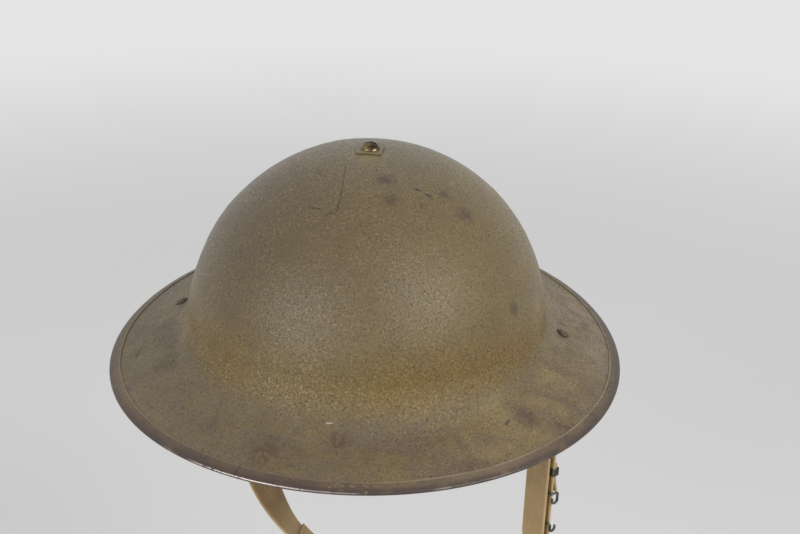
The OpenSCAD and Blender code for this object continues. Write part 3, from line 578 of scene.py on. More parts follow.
def webbing(parts):
    """Webbing along joined stretches, with its UV map in mm and its edge mark."""
    path, side, up, wide = (np.concatenate(part) for part in zip(*parts))
    profile = rounded(WEB_W, WEB_T, 0.75, 4, 11)
    x = profile[:, 0]
    uv = coords(x * wide[:, None], distance(path)[:, None]).reshape(-1, 2)
    edge = smooth_step((np.abs(x) - WEB_W / 2 + 1.6) / 1.4)
    return skin(carry(path, side, up, profile, wide)), uv, np.tile(edge, len(path))


def strap_right():
    """Webbing up the inner leg, round the bail's bar and down the outer leg."""
    bar = np.array([PIVOT_X, RIVET_Y, BAR_Z])
    return webbing([[part[::-1] for part in right_leg(INNER_LEG, -1)],
                    round_bar(bar, np.radians(np.arange(172, 5, -8)), LOOP_R),
                    right_leg(OUTER_LEG, 1)])


def left_line(s):
    """The left strap's middle line and its slant at a distance: straight, then an arc."""
    angle = LEFT_SLANT + (LEFT_END - LEFT_SLANT) * np.maximum((s - LEFT_STRAIGHT) / LEFT_CURVE, 0)
    run = np.minimum(s, LEFT_STRAIGHT)
    x = -PIVOT_X + run * math.sin(LEFT_SLANT) + CURVE_R * (math.cos(LEFT_SLANT) - np.cos(angle))
    z = BAR_Z - run * math.cos(LEFT_SLANT) + CURVE_R * (math.sin(LEFT_SLANT) - np.sin(angle))
    return coords(x, RIVET_Y, z), angle


def left_part(s, off, flip):
    """Path, side, normal and width along the left strap, which twists about its length and back."""
    mid, a = left_line(s)
    g = LEFT_TURN * smooth_step((s - 22) / 80) * (1 - smooth_step((s - LEFT_STRAIGHT) / 50))
    c, t = np.cos(g)[:, None], np.sin(g)[:, None]
    flat, y = coords(np.cos(a), 0, np.sin(a)), np.array([0, 1.0, 0])
    n = c * flat - t * y
    return mid + np.reshape(off, (-1, 1)) * n, c * y + t * flat, n * flip, np.ones(len(s))


def strap_left():
    """Webbing from its sewn tail round the bail's bar, down, round the ring's bar and back."""
    tail, back = np.arange(22, 0.9, -1.5), np.arange(1, 18, 1.5)
    main = np.arange(2, LEFT_LENGTH - 1, 1.6)
    bar, ring = np.array([-PIVOT_X, RIVET_Y, BAR_Z]), left_line(LEFT_LENGTH)[0]
    turn = np.radians(np.arange(0, 181, 10))
    ply = PLY_GAP + WEB_T
    return webbing([
        left_part(tail, blend(LOOP_R, ply - LOOP_R, tail / 9), 1),
        round_bar(bar, LEFT_SLANT + turn, LOOP_R),
        left_part(main, -blend(LOOP_R, RING_LOOP_R, main / LEFT_LENGTH), -1),
        round_bar(ring, LEFT_END + np.pi + turn, RING_LOOP_R),
        left_part(LEFT_LENGTH - back, blend(RING_LOOP_R, ply - RING_LOOP_R, back / 8), 1)])


def hook_tab():
    """Short webbing tab over the upper hook, lifting a little towards its lower end."""
    mid, n, w = right_frame(TAB_FOOT)
    k = np.linspace(0, 10, 21)[:, None]
    out = OUTER_FACE + WEB_T / 2 + PLY_GAP + 1.6 * smooth_step((k - 5) / 5)
    wide = np.full(len(k), (WEB_W - 1) / WEB_W)
    wide[[0, -1]] *= 0.985
    path = mid + out * n + (22 - 2 * k) * UPWARD
    return webbing([(path, np.tile(w, (len(k), 1)), np.tile(n, (len(k), 1)), wide)])


def strap_clamp():
    """Crimped band round leg and tab: an upright section carried round a rounded rectangle."""
    mid, n, w = right_frame(CLAMP_AT)
    gap, thick, tall = 0.15, 0.6, 5
    x0, x1 = HANG_OFF - WEB_T / 2 - gap, TAB_FACE + gap
    corners = rounded(x1 - x0 + thick, WEB_W + 2 * gap + thick, 0.9, 6) + [(x0 + x1) / 2, 0]
    along = np.roll(corners, -1, 0) - np.roll(corners, 1, 0)
    out = unit(coords(along[:, 1], -along[:, 0])) @ [n, w]
    rows = carry(mid + corners @ [n, w], UPWARD, out, rounded(tall, thick, 0.25))
    return skin(rows, closed_rows=True)


def stitches(places, length=2.6, thick=0.55):
    """Threads lying on cloth or leather, each a bent capsule with its ends let in.

    A place is the middle of a thread, its direction and the normal of the face that it lies on.
    """
    g = turns(6)[:, None]
    s, rise, fat = np.array([[-0.5, -0.42, -0.2, 0.2, 0.42, 0.5], [-0.3, 0.1, 0.3, 0.3, 0.1, -0.3],
                             [0.25, 0.425, 0.5, 0.5, 0.425, 0.25]])
    shells = []
    for p, t, u in places:
        path = p + np.outer(s * length, t) + np.outer(rise * thick, u)
        ring = np.cos(g) * np.cross(t, u) + np.sin(g) * u
        shells.append(skin(path[:, None] + ring * fat[:, None, None] * thick))
    return shells


def right_stitches():
    """A box of stitches on both legs under the bail, and two rows across the tab's foot."""
    sewn = SEWN_OFF + WEB_T / 2
    rows = [(d, ACROSS, 0, (-sewn, sewn), False) for d in (10.5, 23)]
    rows += [(d, EDGES, 0, (-sewn, sewn), True) for d in (13, 16.2, 19.4)]
    rows += [(TAB_FOOT, np.arange(-7, 7.1, 3.5), z, (TAB_FACE,), False) for z in (10.5, 7.5)]
    places = []
    for d, ks, z, offs, lengthwise in rows:
        mid, n, w = right_frame(d)
        along = UPWARD if lengthwise else w
        places += [(mid + w * k + n * off + UPWARD * z, along, n * np.sign(off))
                   for k in ks for off in offs]
    return stitches(places)


def left_stitches():
    """A box of stitches on the sewn tail, and two rows across by the ring."""
    tail, ring = ((PLY_GAP + WEB_T - r + WEB_T / 2, -r - WEB_T / 2) for r in (LOOP_R, RING_LOOP_R))
    rows = [(s, ACROSS, tail, False) for s in (10.5, 19.5)]
    rows += [(s, EDGES, tail, True) for s in (13.5, 16.5)]
    rows += [(LEFT_LENGTH - s, ACROSS, ring, False) for s in (8.5, 15)]
    places = []
    for s, ks, offs, lengthwise in rows:
        a = left_line(s)[1]
        for off in offs:
            path, w, n = (part[0] for part in left_part(np.array([s]), off, 1)[:3])
            along = coords(-np.sin(a), 0, np.cos(a)) if lengthwise else w
            places += [(path + w * k, along, n * np.sign(off)) for k in ks]
    return stitches(places)


def band_stitches():
    """A row of stitches round the leather band, inside, where the tongues are sewn on."""
    a = turns(132)
    at = on_hoop(a, -BAND_FACE - 2 * LEATHER_T - 2 * SHEET_GAP, LEATHER_TOP - 5)
    along = unit(coords(-HOOP_W * np.sin(a), HOOP_L * np.cos(a), 0))
    inward = coords(-along[:, 1], along[:, 0], 0)
    return stitches(zip(at, along, inward), 3.0, 0.7)


# Finishes

def colour(code):
    """An sRGB hex colour as linear red, green, blue and 1."""
    c = np.array([int(code[i:i + 2], 16) for i in (1, 3, 5)]) / 255
    c = np.where(c <= 0.04045, c / 12.92, ((c + 0.055) / 1.055) ** 2.4)
    return (*c.tolist(), 1.0)


def plug(node, inputs):
    """Puts numbers, hex colours, outputs or nodes into a node's inputs.

    A node gives its first output in use.
    """
    for key, value in inputs.items():
        if isinstance(value, bpy.types.Node):
            value = next(out for out in value.outputs if out.enabled)
        if isinstance(value, bpy.types.NodeSocket):
            node.id_data.links.new(value, node.inputs[key])
        else:
            node.inputs[key].default_value = colour(value) if isinstance(value, str) else value


def add(tree, kind, inputs=None, **settings):
    """Adds a shader node of a kind with its settings and inputs."""
    node = tree.nodes.new("ShaderNode" + kind)
    for key, value in settings.items():
        setattr(node, key, value)
    plug(node, inputs or {})
    return node


def finish_of(name):
    """A new material with its node tree, its surface shader and the place on the object."""
    mat = bpy.data.materials.new(name)
    mat.use_nodes = True
    tree = mat.node_tree
    place = add(tree, "TexCoord").outputs["Object"]
    return mat, tree, tree.nodes["Principled BSDF"], place


def layers(base, *coats):
    """Lays coats of mask and colour over a base colour, in order."""
    for mask, tint in coats:
        base = add(mask.id_data, "Mix", {0: mask, 6: base, 7: tint}, data_type="RGBA")
    return base


def between(value, low, high, start=0.0, end=1.0):
    """From start where a value is at low to end where it is at high, smooth in between."""
    return add(value.id_data, "MapRange", {
        "Value": value, "From Min": low, "From Max": high, "To Min": start, "To Max": end},
        interpolation_type="SMOOTHSTEP")


def fade(value, low, high):
    """0 where a coordinate is at low, 1 where it is at high, in mm, smooth in between."""
    return between(value, low * MM, high * MM)


def joined(operation, *masks):
    """Masks and numbers taken together one after another by a math operation."""
    total = masks[0]
    for mask in masks[1:]:
        total = add(total.id_data, "Math", {0: total, 1: mask}, operation=operation)
    return total


def times(*masks):
    """Product of masks and numbers."""
    return joined("MULTIPLY", *masks)


def most(*masks):
    """The strongest of some masks and numbers at each point."""
    return joined("MAXIMUM", *masks)


def patches(place, mm, low, high, detail=3.0, warp=0.0, rough=0.55):
    """Irregular patches of one real size, as a mask from 0 to 1 between two noise levels."""
    noise = add(place.id_data, "TexNoise", {
        "Vector": place, "Scale": 1 / (mm * MM), "Detail": detail, "Roughness": rough,
        "Distortion": warp})
    return between(noise, low, high)


def spot(place, at, radius, strength=1.0, soft=0.4):
    """A round mark: strength up to radius * soft, falling to 0 at the radius, in mm."""
    far = add(place.id_data, "VectorMath", {0: place, 1: Vector(at) * MM}, operation="DISTANCE")
    return between(far, radius * soft * MM, radius * MM, strength, 0.0)


def scratch(place, start, end, wide, strength):
    """A line mark: near the plane through two points and the bowl's middle, between them, in mm."""
    tree = place.id_data
    s, run = Vector(start) * MM, (Vector(end) - Vector(start)) * MM
    flat = run.cross(s - Vector((0, 0, 20 * MM))).normalized()
    rel = add(tree, "VectorMath", {0: place, 1: s}, operation="SUBTRACT")
    off, along = (add(tree, "VectorMath", {0: rel, 1: way}, operation="DOT_PRODUCT")
                  for way in (flat, run.normalized()))
    side, past = (add(tree, "Math", {0: way}, operation="ABSOLUTE")
                  for way in (off, joined("SUBTRACT", along, run.length / 2)))
    half = run.length / 2 / MM
    return times(fade(side, wide, wide * 0.35), fade(past, half + 0.8, half - 0.8),
                 patches(place, 2.2, 0.25, 0.5), strength)


def sand(place):
    """Grit strewn in paint: its noise, which is also the relief, its pale grains, partly a painted
    highlight on the peaks, and the pits between them, painted as shade.
    """
    grit = add(place.id_data, "TexNoise", {
        "Vector": place, "Scale": 1 / (GRIT * MM), "Detail": 3.0, "Roughness": 0.72})
    return grit, between(grit, 0.53, 0.64), between(grit, 0.45, 0.33)


# Dark marks on the paint: place and radius in mm, and strength
STAINS = [
    ((-29.3, -135.9, 7.5), 15, 0.85), ((-14, -136, 8), 10, 0.5), ((-113.8, -23.5, 10.7), 9, 0.5),
    ((-128.4, -20.3, 4.5), 8, 0.5), ((-121.9, -44.8, 5.2), 9, 0.5), ((-99, -66, 11), 13, 0.6),
    ((118.9, 40.5, 7), 8, 0.7), ((126.6, 25, 5), 6, 0.5), ((110.6, -1.6, 12.9), 6, 0.5),
    ((107.5, -19.3, 13.8), 6, 0.5), ((116.1, -78.8, 2.1), 11, 0.8), ((95.4, -83.4, 8.7), 12, 0.8),
    ((6.6, -126.4, 12.7), 9, 0.75), ((71.5, -127.3, 3.4), 12, 0.6), ((13.4, -30.9, 111.6), 8, 1),
    ((17.5, -44.8, 106.4), 7, 0.8), ((34.7, -41.9, 102.7), 4.5, 0.5),
    ((43.4, -26.4, 103.8), 7, 0.9), ((55.2, -31.5, 95.6), 8, 1), ((84.3, -48, 52.1), 6.5, 1),
    ((-23.9, -24.8, 111.1), 4.5, 0.4), ((-60, -60, 78), 6, 0.3), ((-34, 60, 92), 6, 0.5),
    ((50, 92, 40), 7, 0.5), ((-70, 112, 10), 9, 0.5), ((20, 128, 13), 8, 0.5),
    ((-96, 20, 48), 6, 0.4), ((-60, -118, 8), 8, 0.35), ((96, 78, 8), 8, 0.5),
]

# Pale places: place and radius in mm, and strength. The first two and the fifth and sixth are
# painted light on the flare's sides, where they face the lamps; the others are rubbed paint
RUBBED_AND_LIT = [
    ((97, -30.5, 31), 12, 0.8), ((97, -20.6, 41.5), 9, 0.6), ((81.7, -85.6, 12.8), 18, 0.6),
    ((107.8, -49.5, 10.4), 15, 0.6), ((-95, -30, 26), 16, 0.7), ((-93, -47, 22), 12, 0.6),
    ((0, -9, 116), 17, 0.7), ((-116, 10, 11), 22, 0.5), ((-112, -14, 13), 14, 0.7),
    ((-70, 96, 22), 16, 0.5), ((88, 70, 20), 14, 0.5),
]

# Line marks on the paint: start and end in mm, half width in mm, strength and colour
SCRATCHES = [
    ((-9.8, -19.9, 114.4), (-7.9, -42.1, 108.7), 0.5, 0.75, "#3b3023"),
    ((-7.9, -42.1, 108.7), (-7.9, -56.4, 102.3), 0.7, 0.8, "#3b3023"),
    ((-8.4, -57.4, 101.7), (-12.4, -57, 101.5), 0.6, 0.85, "#332819"),
    ((-16.5, -54.1, 102.4), (-23.6, -52.2, 101.8), 0.8, 0.85, "#3b2f1d"),
    ((28.6, -31.3, 108.2), (32.3, -31.6, 107), 1.2, 1, "#32261f"),
    ((34.2, -32.3, 106.2), (37.6, -32.8, 104.6), 1.2, 1, "#32261f"),
    ((-1.3, -120.1, 17.3), (1.8, -119.7, 17.6), 0.25, 0.8, "#c5bca8"),
    ((85.6, -90.2, 10.2), (84.8, -94.2, 9.5), 0.5, 0.9, "#3a2e22"),
    ((-52, 30, 98), (-63, -4, 96), 0.5, 0.5, "#41351f"),
    ((40, 60, 84), (12, 78, 80), 0.5, 0.5, "#41351f"),
]


def weathering(tree, place, axes, grit, grains, pits, clouds, mottle):
    """The coats of the helmet's outside by region, from clouds and stains to single scratches."""
    x, y, z = axes
    front = fade(y, 0, -50)
    brim = fade(z, 24, 12)
    foot = times(fade(z, 17, 27), fade(z, 54, 34))
    rust = times(foot, fade(x, 6, 34), fade(y, -14, -50), patches(place, 8, 0.26, 0.62, 5))
    brown = times(spot(place, (-58, -90, 29), 20, 0.8, 0.2), patches(place, 6, 0.3, 0.5))
    # the pale places are rubbed paint, and painted light on the flare's sides
    stains, rubbed = (most(*(spot(place, *mark, 0.1) for mark in marks))
                      for marks in (STAINS, RUBBED_AND_LIT))
    stains = times(stains, patches(place, 4.5, 0.34, 0.56, 4, 1.0))
    rubbed = times(rubbed, patches(place, 9, 0.25, 0.6, 4))
    # smoother paint on the brim's left and rear, and more ochre grains at the bowl's foot in front
    smooth = times(brim, most(fade(x, 60, -10), fade(y, -45, 5)), 0.55)
    rough = add(tree, "Math", {0: 1.0, 1: smooth}, operation="SUBTRACT")
    ochre = add(tree, "MapRange", {"Value": times(foot, front), "To Min": 0.5, "To Max": 0.8})
    # painted shade on the sides of each rivet's head and in the crevice round it, kept off the
    # head's middle
    heads = [(side * RIVET_X, RIVET_Y, RIVET_Z) for side in (-1, 1)]
    rivet_shade, worn = (most(*(spot(place, at, *mark) for at in heads))
                  for mark in ((4.8, 0.75, 0.8), (2.9, 0.9, 0.6)))
    off_centre = add(tree, "Math", {0: 1.0, 1: worn}, operation="SUBTRACT")
    return [
        (times(clouds, 0.4), "#60533b"),
        # darker and browner towards the left, yellower and lighter towards the right: the paint's
        # own tone, and painted shade and light, the right side taking more lamp light
        (times(fade(x, 25, -70), 0.9), "#54432d"),
        (times(fade(x, 5, 80), 0.85), "#6f5c2c"),
        (times(fade(z, 80, 45), front, 0.5), "#705f38"),
        (times(brim, 0.8), "#6b5c3b"),
        (times(brim, fade(x, -60, -110), 0.8), "#6c6047"),
        # lighter brim on the right: the paint's tone, and painted light where the lamps fall more
        # strongly
        (times(brim, fade(x, 25, 90), 0.8), "#806e49"),
        (times(brim, patches(place, 22, 0.42, 0.62, 5, 0.6, 0.6), 0.75), "#5c4d40"),
        (times(smooth, patches(place, 9, 0.4, 0.6, 5, 1.0)), "#6a5f4e"),
        (times(brim, fade(x, 60, 105), fade(y, -40, 0),
               patches(place, 16, 0.38, 0.58, 4, 1.0), 0.7), "#8d7d6a"),
        (times(foot, 0.6), "#766230"),
        # greyer on the crown's top: the paint's tone, and a painted reflection of the pale surround
        # above
        (times(fade(z, 106, 116), 0.5), "#655b46"),
        (times(mottle, 0.4), "#5d4f36"),
        # pale: rubbed paint, and painted light on the flare's sides
        (rubbed, "#86764f"),
        (times(most(rust, brown), 0.5), "#705528"),
        (times(grains, rough, ochre), "#95844f"),
        (times(rust, between(grit, 0.50, 0.60), 0.5), "#8c6832"),
        # painted shade in the grit's pits
        (times(pits, 0.8), "#3b2f1d"),
        (times(stains, 0.85), "#442f24"),
        *((scratch(place, *mark), tint) for *mark, tint in SCRATCHES),
        # painted shade round each rivet's head
        (times(rivet_shade, off_centre), "#3a2e22")]


def old_paint(name, inside=False):
    """Khaki paint with grit strewn in it, on steel: dull, speckled, stained and rusty in places."""
    mat, tree, shader, place = finish_of(name)
    axes = add(tree, "SeparateXYZ", {0: place}).outputs
    # one field of grit gives the pale grains, the dark pits between them and the relief; the
    # grains' lightness on the peaks is partly painted highlight, the pits' darkness painted shade
    grit, grains, pits = sand(place)
    clouds = patches(place, 45, 0.34, 0.66, 4)
    mottle = patches(place, 12, 0.32, 0.68, 5, 0.0, 0.62)
    grains = times(grains, patches(place, 15, 0.20, 0.62))
    if inside:
        # grains lighter and pits darker: partly painted light and shade on the grit's relief
        base = layers("#5e5238", (clouds, "#554933"), (times(mottle, 0.5), "#6a5d3d"),
                      (times(grains, 0.5), "#7c6f4b"), (times(pits, 0.5), "#41382a"))
    else:
        base = layers("#67583a", *weathering(tree, place, axes, grit, grains, pits, clouds, mottle))
    # grains rubbed to a dull shine by hands and cloth on the bowl, matt with dust below
    gloss = add(tree, "MapRange", {
        "Value": grit, "From Min": 0.4, "From Max": 0.65, "To Min": 0.47, "To Max": 0.25})
    dull = add(tree, "MapRange", {"Value": fade(axes[2], 48, 24), "To Min": 1.0, "To Max": 1.45})
    lumps = add(tree, "TexNoise", {"Vector": place, "Scale": 1 / (8 * MM), "Detail": 2.0})
    bump = add(tree, "Bump", {"Height": grit, "Strength": 1.0, "Distance": 0.34 * MM})
    wide_bump = add(tree, "Bump", {
        "Height": lumps, "Strength": 0.2, "Distance": 0.6 * MM, "Normal": bump})
    plug(shader, {"Base Color": base, "Roughness": times(gloss, dull), "Normal": wide_bump})
    return mat


def rim_paint():
    """The same paint on the band, rubbed to primer and steel on the fold, grey at the lip with a
    painted highlight, painted shade under the fold.
    """
    mat, tree, shader, place = finish_of("rubbed_rim_paint")
    worn, edge, lip, under = (add(tree, "Attribute", attribute_name=name).outputs["Fac"]
                              for name in ("worn", "edge", "lip", "under"))
    x, y, _ = add(tree, "SeparateXYZ", {0: place}).outputs
    front = fade(y, -90, -130)
    grit, grains, pits = sand(place)
    bare = times(worn, patches(place, 9, 0.22, 0.52, 5))
    # bare, knocked steel at the front left, and a few short runs along the rest of the front
    knocked = times(front, fade(x, 0, -8), fade(x, -68, -58))
    runs = times(fade(y, -118, -138), patches(place, 45, 0.48, 0.58, 2), 0.5)
    bright = times(edge, most(knocked, runs), patches(place, 3.5, 0.30, 0.50))
    chips = times(spot(place, (15, -150, 4), 17, 1.0, 0.6), patches(place, 2.0, 0.60, 0.66, 2))
    # pale line on the raised inner edge: worn paint, and a painted highlight, strongest on the
    # right
    pale_lip = times(lip, patches(place, 9, 0.2, 0.5, 4), most(fade(x, -40, 60), 0.5), 0.85)
    base = layers(
        "#62523b", (times(patches(place, 26, 0.40, 0.60, 4), 0.85), "#493b31"),
        (times(patches(place, 5, 0.42, 0.62, 4), 0.4), "#665742"),
        # grains and pits: partly painted highlight and shade on the grit's relief
        (times(grains, 0.5), "#84734b"), (times(pits, 0.6), "#382c1f"),
        (times(front, fade(x, 40, -30), 0.5), "#44362f"),
        (times(front, fade(x, 20, 80), 0.5), "#786853"),
        # under: painted shade beneath the fold and inside the band; pale_lip: worn paint and
        # painted highlight
        (times(bare, 0.9), "#3c2d28"), (times(under, 0.85), "#33231e"), (pale_lip, "#9d8e78"),
        (times(chips, 0.4), "#95856b"), (bright, "#d9cdc4"))
    gloss = add(tree, "MapRange", {"Value": bare, "To Min": 0.55, "To Max": 0.38})
    bump = add(tree, "Bump", {"Height": grit, "Strength": 0.8, "Distance": 0.25 * MM})
    plug(shader, {"Base Color": base, "Metallic": times(bright, 0.7), "Roughness": gloss,
                  "Normal": bump})
    return mat


def metal(name, bright, dull, rough, grain=2.0, spread=0.12, metallic=1.0):
    """Metal that has lain in air: bright where rubbed, else dull and stained, finely pitted."""
    mat, tree, shader, place = finish_of(name)
    tarnish = patches(place, grain * 3, 0.35, 0.65, 4)
    specks = times(patches(place, grain, 0.52, 0.70), 0.4)
    base = layers(bright, (tarnish, dull), (specks, "#2c2620"))
    gloss = add(tree, "MapRange", {
        "Value": tarnish, "To Min": rough - spread, "To Max": rough + spread})
    pits = add(tree, "TexNoise", {"Vector": place, "Scale": 1 / (grain * 0.4 * MM), "Detail": 3.0})
    bump = add(tree, "Bump", {"Height": pits, "Strength": 0.15, "Distance": 0.3 * MM})
    plug(shader, {"Base Color": base, "Metallic": metallic, "Roughness": gloss, "Normal": bump})
    return mat


def old_leather():
    """Vegetable-tanned leather, dark with wear: pebbled grain about 1 mm across, uneven polish."""
    mat, tree, shader, place = finish_of("brown_leather")
    cells = add(tree, "TexVoronoi", {"Vector": place, "Scale": 1 / (1.3 * MM)}, feature="SMOOTH_F1")
    creases = patches(place, 8, 0.45, 0.60, 5, 1.5)
    clouds = patches(place, 25, 0.38, 0.64, 4)
    base = layers("#6b4a2e", (times(clouds, 0.8), "#4d3420"), (times(creases, 0.5), "#3b281a"),
                  (times(patches(place, 3, 0.55, 0.72), 0.5), "#85603c"))
    gloss = add(tree, "MapRange", {"Value": clouds, "To Min": 0.42, "To Max": 0.62})
    bump = add(tree, "Bump", {"Height": cells, "Strength": 0.5, "Distance": 0.25 * MM})
    fold = add(tree, "Bump", {
        "Height": creases, "Strength": 0.25, "Distance": 0.4 * MM, "Normal": bump}, invert=True)
    plug(shader, {"Base Color": base, "Roughness": gloss, "Normal": fold})
    return mat


def wool_felt():
    """Pressed wool felt: no gloss, short matted fibres, a few darker hairs."""
    mat, tree, shader, place = finish_of("grey_wool_felt")
    stretched = add(tree, "Mapping", {
        "Vector": place, "Scale": (1.0, 0.35, 1.0), "Rotation": (0, 0, 0.6)})
    hairs = patches(stretched, 1.1, 0.45, 0.65, 4, 2.5)
    base = layers("#a89c86", (times(patches(place, 14, 0.4, 0.62, 4), 0.7), "#8f846f"),
                  (times(hairs, 0.5), "#c3b8a3"),
                  (times(patches(place, 2.2, 0.6, 0.72), 0.6), "#6d6354"))
    bump = add(tree, "Bump", {"Height": hairs, "Strength": 0.6, "Distance": 0.5 * MM})
    plug(shader, {"Base Color": base, "Roughness": 0.95, "Normal": bump,
                  "Sheen Weight": 0.35, "Sheen Roughness": 0.5})
    return mat


def cotton_webbing():
    """Heavy khaki cotton webbing: ribs across the width, picks along the length, pale selvedge."""
    mat, tree, shader, place = finish_of("khaki_cotton_webbing")
    uv = add(tree, "UVMap", uv_map="weave")
    selvedge = add(tree, "Attribute", attribute_name="edge").outputs["Fac"]
    across, along, _ = add(tree, "SeparateXYZ", {0: uv}).outputs
    rib, pick = times(across, TAU / (RIB * MM)), times(along, TAU / (PICK * MM))
    rib_wave = add(tree, "Math", {0: rib}, operation="SINE")
    lag = add(tree, "Math", {0: rib_wave, 1: 1.6, 2: pick}, operation="MULTIPLY_ADD")
    pick_wave = add(tree, "Math", {0: lag}, operation="SINE")
    height = add(tree, "MapRange", {
        "Value": joined("ADD", rib_wave, pick_wave), "From Min": -2.0, "From Max": 2.0})
    # hollow: the low parts of the weave's relief, painted darker as shade
    hollow = add(tree, "MapRange", {"Value": height, "From Min": 0.45, "From Max": 0.1})
    # the wearer's right strap is darker in its upper part: sweat and grime, and a painted shadow of
    # the helmet
    x, _, z = add(tree, "SeparateXYZ", {0: place}).outputs
    right = fade(x, 0, -30)
    shadow_and_soil = times(right, fade(z, -144, -122), patches(place, 9, 0.2, 0.5, 4), 0.6)
    base = layers("#ba9c6e", (times(patches(place, 16, 0.40, 0.62, 4), 0.5), "#a5885f"),
                  (times(patches(place, 3, 0.50, 0.66, 4), 0.35), "#c9ae80"), (shadow_and_soil, "#826a47"),
                  # painted light on the lower part of the wearer's right strap, below the helmet's
                  # shadow
                  (times(right, fade(z, -128, -150), 0.6), "#d6bb8e"),
                  # painted shade in the weave's hollows
                  (times(hollow, 0.5), "#7d6543"), (times(selvedge, 0.5), "#cdb27c"))
    bump = add(tree, "Bump", {"Height": height, "Strength": 0.6, "Distance": 0.35 * MM})
    plug(shader, {"Base Color": base, "Roughness": 0.88, "Normal": bump,
                  "Sheen Weight": 0.25, "Sheen Roughness": 0.4})
    return mat


def thread(name, light, dark):
    """Waxed linen or cotton thread: slightly shiny, uneven in colour."""
    mat, tree, shader, place = finish_of(name)
    fibres = add(tree, "TexNoise", {"Vector": place, "Scale": 1 / (0.5 * MM), "Detail": 2.0})
    bump = add(tree, "Bump", {"Height": fibres, "Strength": 0.4, "Distance": 0.2 * MM})
    base = layers(light, (patches(place, 2.5, 0.40, 0.62), dark))
    plug(shader, {"Base Color": base, "Roughness": 0.7, "Normal": bump})
    return mat


def put_on(names, finish):
    """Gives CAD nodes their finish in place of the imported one."""
    for name in names:
        mesh = nodes[name].data
        mesh.materials.clear()
        mesh.materials.append(finish)


shell_finish = old_paint("gritty_khaki_paint")
inner_finish = old_paint("inside_khaki_paint", inside=True)
# Turned brass, brown with age, bright where a screwdriver and hands have rubbed it
brass = metal("aged_brass", "#7f6f52", "#383023", 0.36, 1.6)
# Zinc-plated steel of nut and washer: flat grey, with a broad, weak shine
dull_steel = metal("dull_steel", "#8a8780", "#5b564e", 0.5)
# Rolled spring steel, blued by heat: smooth and dark, with a long, soft highlight
spring_steel = metal("blued_spring_steel", "#5f5d5a", "#37342f", 0.38, 3.0)
# Plain pressed steel of the rivets: grey, and brighter than the strips round them
rivet_steel = metal("rivet_steel", "#93907f", "#5a544a", 0.45)
# Drawn steel wire under oxide and old paint: dark grey-green, with small dull highlights
wire_finish = metal("dark_wire", "#6d7168", "#3e413a", 0.42, 1.5, 0.1, 0.85)
# Thin pressed sheet of the clamp, oxidised: dark, with a dull, uneven shine
clamp_finish = metal("dark_clamp_steel", "#5c5a52", "#34322c", 0.45, 2.0, 0.1, 0.9)
leather = old_leather()
webbing_finish = cotton_webbing()
khaki_thread = thread("khaki_thread", "#b59c6c", "#8d744b")
pale_thread = thread("linen_thread", "#b9a987", "#877656")
lace_finish = thread("waxed_lace", "#9b835c", "#6c5638")

# The steel; the shell's faces that look inwards or down get the inner paint

shell = piece("helmet_shell", [steel_shell()], "helmet", shell_finish, ["shell"], 50)
shell.data.materials.append(inner_finish)
centres, normals = np.zeros((2, len(shell.data.polygons), 3))
shell.data.polygons.foreach_get("center", centres.ravel())
shell.data.polygons.foreach_get("normal", normals.ravel())
centres[:, 2] = 0.25
inward = (normals * centres).sum(1) < 0
shell.data.polygons.foreach_set("material_index", inward.astype(np.int32))

rim, rim_marks = rim_binding()
piece("rim_binding", [rim], "helmet", rim_paint(), ["rim_band"], 50, marks=rim_marks)
piece("screw_plate", [crown_plate()], "helmet", shell_finish, ["crown_plate"], 50)
piece("brass_screw", screw_head(), "helmet", brass, ["crown_screw"], 30)

# The liner

put_on(["crown_washer", "crown_nut"], dull_steel)
put_on(["arm_rivets", "pad_rivets"], rivet_steel)
for name, strip, node in (
        ("long_spring_strip", spring_strip(HOOP_L + SHEET_GAP, LONG_TOP, True), "long_spring"),
        ("cross_spring_strip", spring_strip(HOOP_W + SHEET_GAP, CROSS_TOP, False), "cross_spring"),
        ("oval_hoop", head_hoop(), "head_hoop")):
    piece(name, [strip], "helmet", spring_steel, [node])
piece("leather_band", [sweatband()], "helmet", leather, ["sweatband"], 60)
piece("band_stitching", band_stitches(), "helmet", pale_thread, smooth=60)
tongues = piece("leather_tongues", [tongue(k) for k in range(TONGUES)], "helmet", leather,
                ["liner_tongues"], 50, closed=False)
wall = tongues.modifiers.new("leather", "SOLIDIFY")
wall.thickness, wall.offset = LEATHER_T * MM, 0
edges = tongues.modifiers.new("edges", "BEVEL")
edges.width, edges.segments = 0.35 * MM, 2
edges.limit_method, edges.angle_limit = "ANGLE", math.radians(50)
piece("tongue_lace", [lace()], "helmet", lace_finish, ["liner_lace"], 60)
pad = piece("felt_pad", [felt_pad()], "helmet", wool_felt(), ["crown_pad"], 60)

# The chin strap

put_on(["bail_clip_right", "bail_clip_left"], inner_finish)
put_on(["bail_rivet_right", "bail_rivet_left"], shell_finish)
put_on(["bail_right", "bail_left", "upper_hook", "lower_hook", "catch_ring"], wire_finish)
for name, made, body, node in (("right_webbing", strap_right(), "right_strap", "strap_right"),
                               ("left_webbing", strap_left(), "left_strap", "strap_left"),
                               ("webbing_tab", hook_tab(), "right_strap", "hook_tab")):
    shape, uv, edge = made
    piece(name, [shape], body, webbing_finish, [node], 60, uv, {"edge": edge})
piece("crimped_clamp", [strap_clamp()], "right_strap", clamp_finish, ["strap_clamp"], 50)
piece("right_stitching", right_stitches(), "right_strap", khaki_thread, smooth=60)
piece("left_stitching", left_stitches(), "left_strap", khaki_thread, smooth=60)

# Floor, lamps, world and camera


def looking(tree):
    """1 for rays that the camera sends, also by way of gloss or glass, and 0 for rays of light."""
    rays = add(tree, "LightPath").outputs
    return most(rays["Is Camera Ray"], rays["Is Glossy Ray"], rays["Is Transmission Ray"])


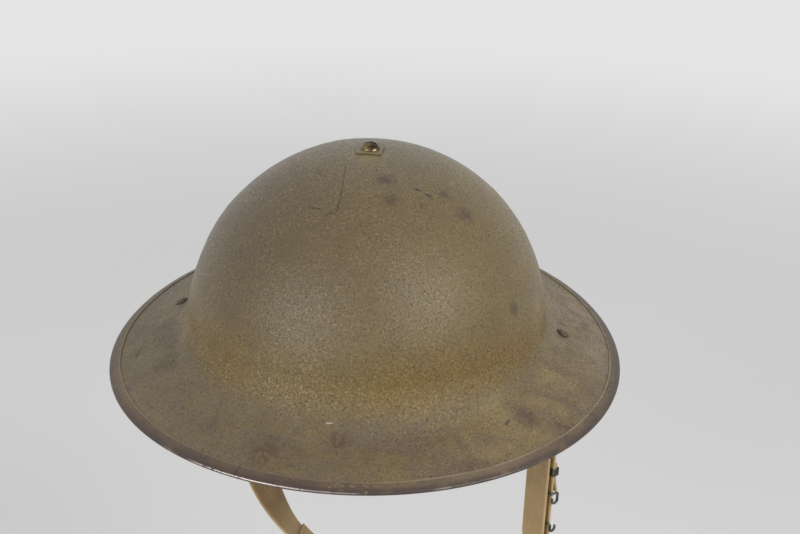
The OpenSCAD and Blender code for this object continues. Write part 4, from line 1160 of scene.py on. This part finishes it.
# matt white board, whose far parts the camera sees as an evenly lit pale wall
mat, tree, shader, place = finish_of("pale_floor")
plug(shader, {"Base Color": "#dcdcda", "Roughness": 0.9})
away = add(tree, "VectorMath", {0: place}, operation="LENGTH")
far = between(away, 1.0, 2.4, 0.35, 0.96)
glow = add(tree, "Emission", {"Color": "#e7e7e7", "Strength": 1.0})
board = add(tree, "MixShader", {0: times(far, looking(tree)), 1: shader, 2: glow})
# clear from behind, so that views from below see the helmet
clear = add(tree, "BsdfTransparent")
behind = add(tree, "NewGeometry").outputs["Backfacing"]
seen = add(tree, "MixShader", {0: behind, 1: board, 2: clear})
plug(tree.nodes["Material Output"], {"Surface": seen})
mesh = bpy.data.meshes.new("floor")
mesh.from_pydata([(x * FLOOR_REACH, y * FLOOR_REACH, FLOOR_Z)
                  for x, y in ((-1, -1), (1, -1), (1, 1), (-1, 1))], [], [(0, 1, 2, 3)])
mesh.materials.append(mat)
floor = bpy.data.objects.new("floor", mesh)
bpy.context.collection.objects.link(floor)


def lamp(name, azimuth, elevation, power, at):
    """A square soft lamp that faces a point, from an azimuth and elevation in degrees."""
    data = bpy.data.lights.new(name, "AREA")
    data.shape, data.size, data.energy = "SQUARE", LAMP_SIZE, power
    obj = bpy.data.objects.new(name, data)
    bpy.context.collection.objects.link(obj)
    a, e = math.radians(azimuth), math.radians(elevation)
    back = Vector((math.sin(a) * math.cos(e), -math.cos(a) * math.cos(e), math.sin(e)))
    obj.location = Vector(at) * MM + back * LAMP_FAR
    obj.rotation_euler = back.to_track_quat("Z", "Y").to_euler()


# each faces the place on the bowl where the photo has a highlight
lamp("front_left_lamp", -37.2, 24.6, 12, (-17.7, -100.4, 62))
lamp("front_right_lamp", 65.4, 36.4, 14, (43.2, -83, 71.5))

world = bpy.data.worlds.new("studio")
bpy.context.scene.world = world
world.use_nodes = True
tree = world.node_tree
tree.nodes.clear()
fill = add(tree, "Background", {"Color": "#f4f4f6", "Strength": 0.55})
back = add(tree, "Background", {"Color": "#ececec", "Strength": 1.0})
surround = add(tree, "MixShader", {0: looking(tree), 1: fill, 2: back})
add(tree, "OutputWorld", {"Surface": surround})

# the camera fitted to the photo: its place, its line of sight, its upward side and its lens
camera = bpy.data.objects.new("camera", bpy.data.cameras.new("camera"))
bpy.context.collection.objects.link(camera)
forward, up = Vector((-0.11242, 0.89952, -0.42216)), Vector((-0.0784, 0.4155, 0.90621))
right = forward.cross(up).normalized()
up = right.cross(forward)
camera.matrix_world = Matrix.Translation((0.09394, -0.60825, 0.33348)) @ Matrix(
    (right, up, -forward)).transposed().to_4x4()
camera.data.lens, camera.data.sensor_width = 53.862, 36
camera.data.clip_start, camera.data.clip_end = 0.01, 50
bpy.context.scene.camera = camera
bpy.context.scene.view_settings.view_transform = "Standard"
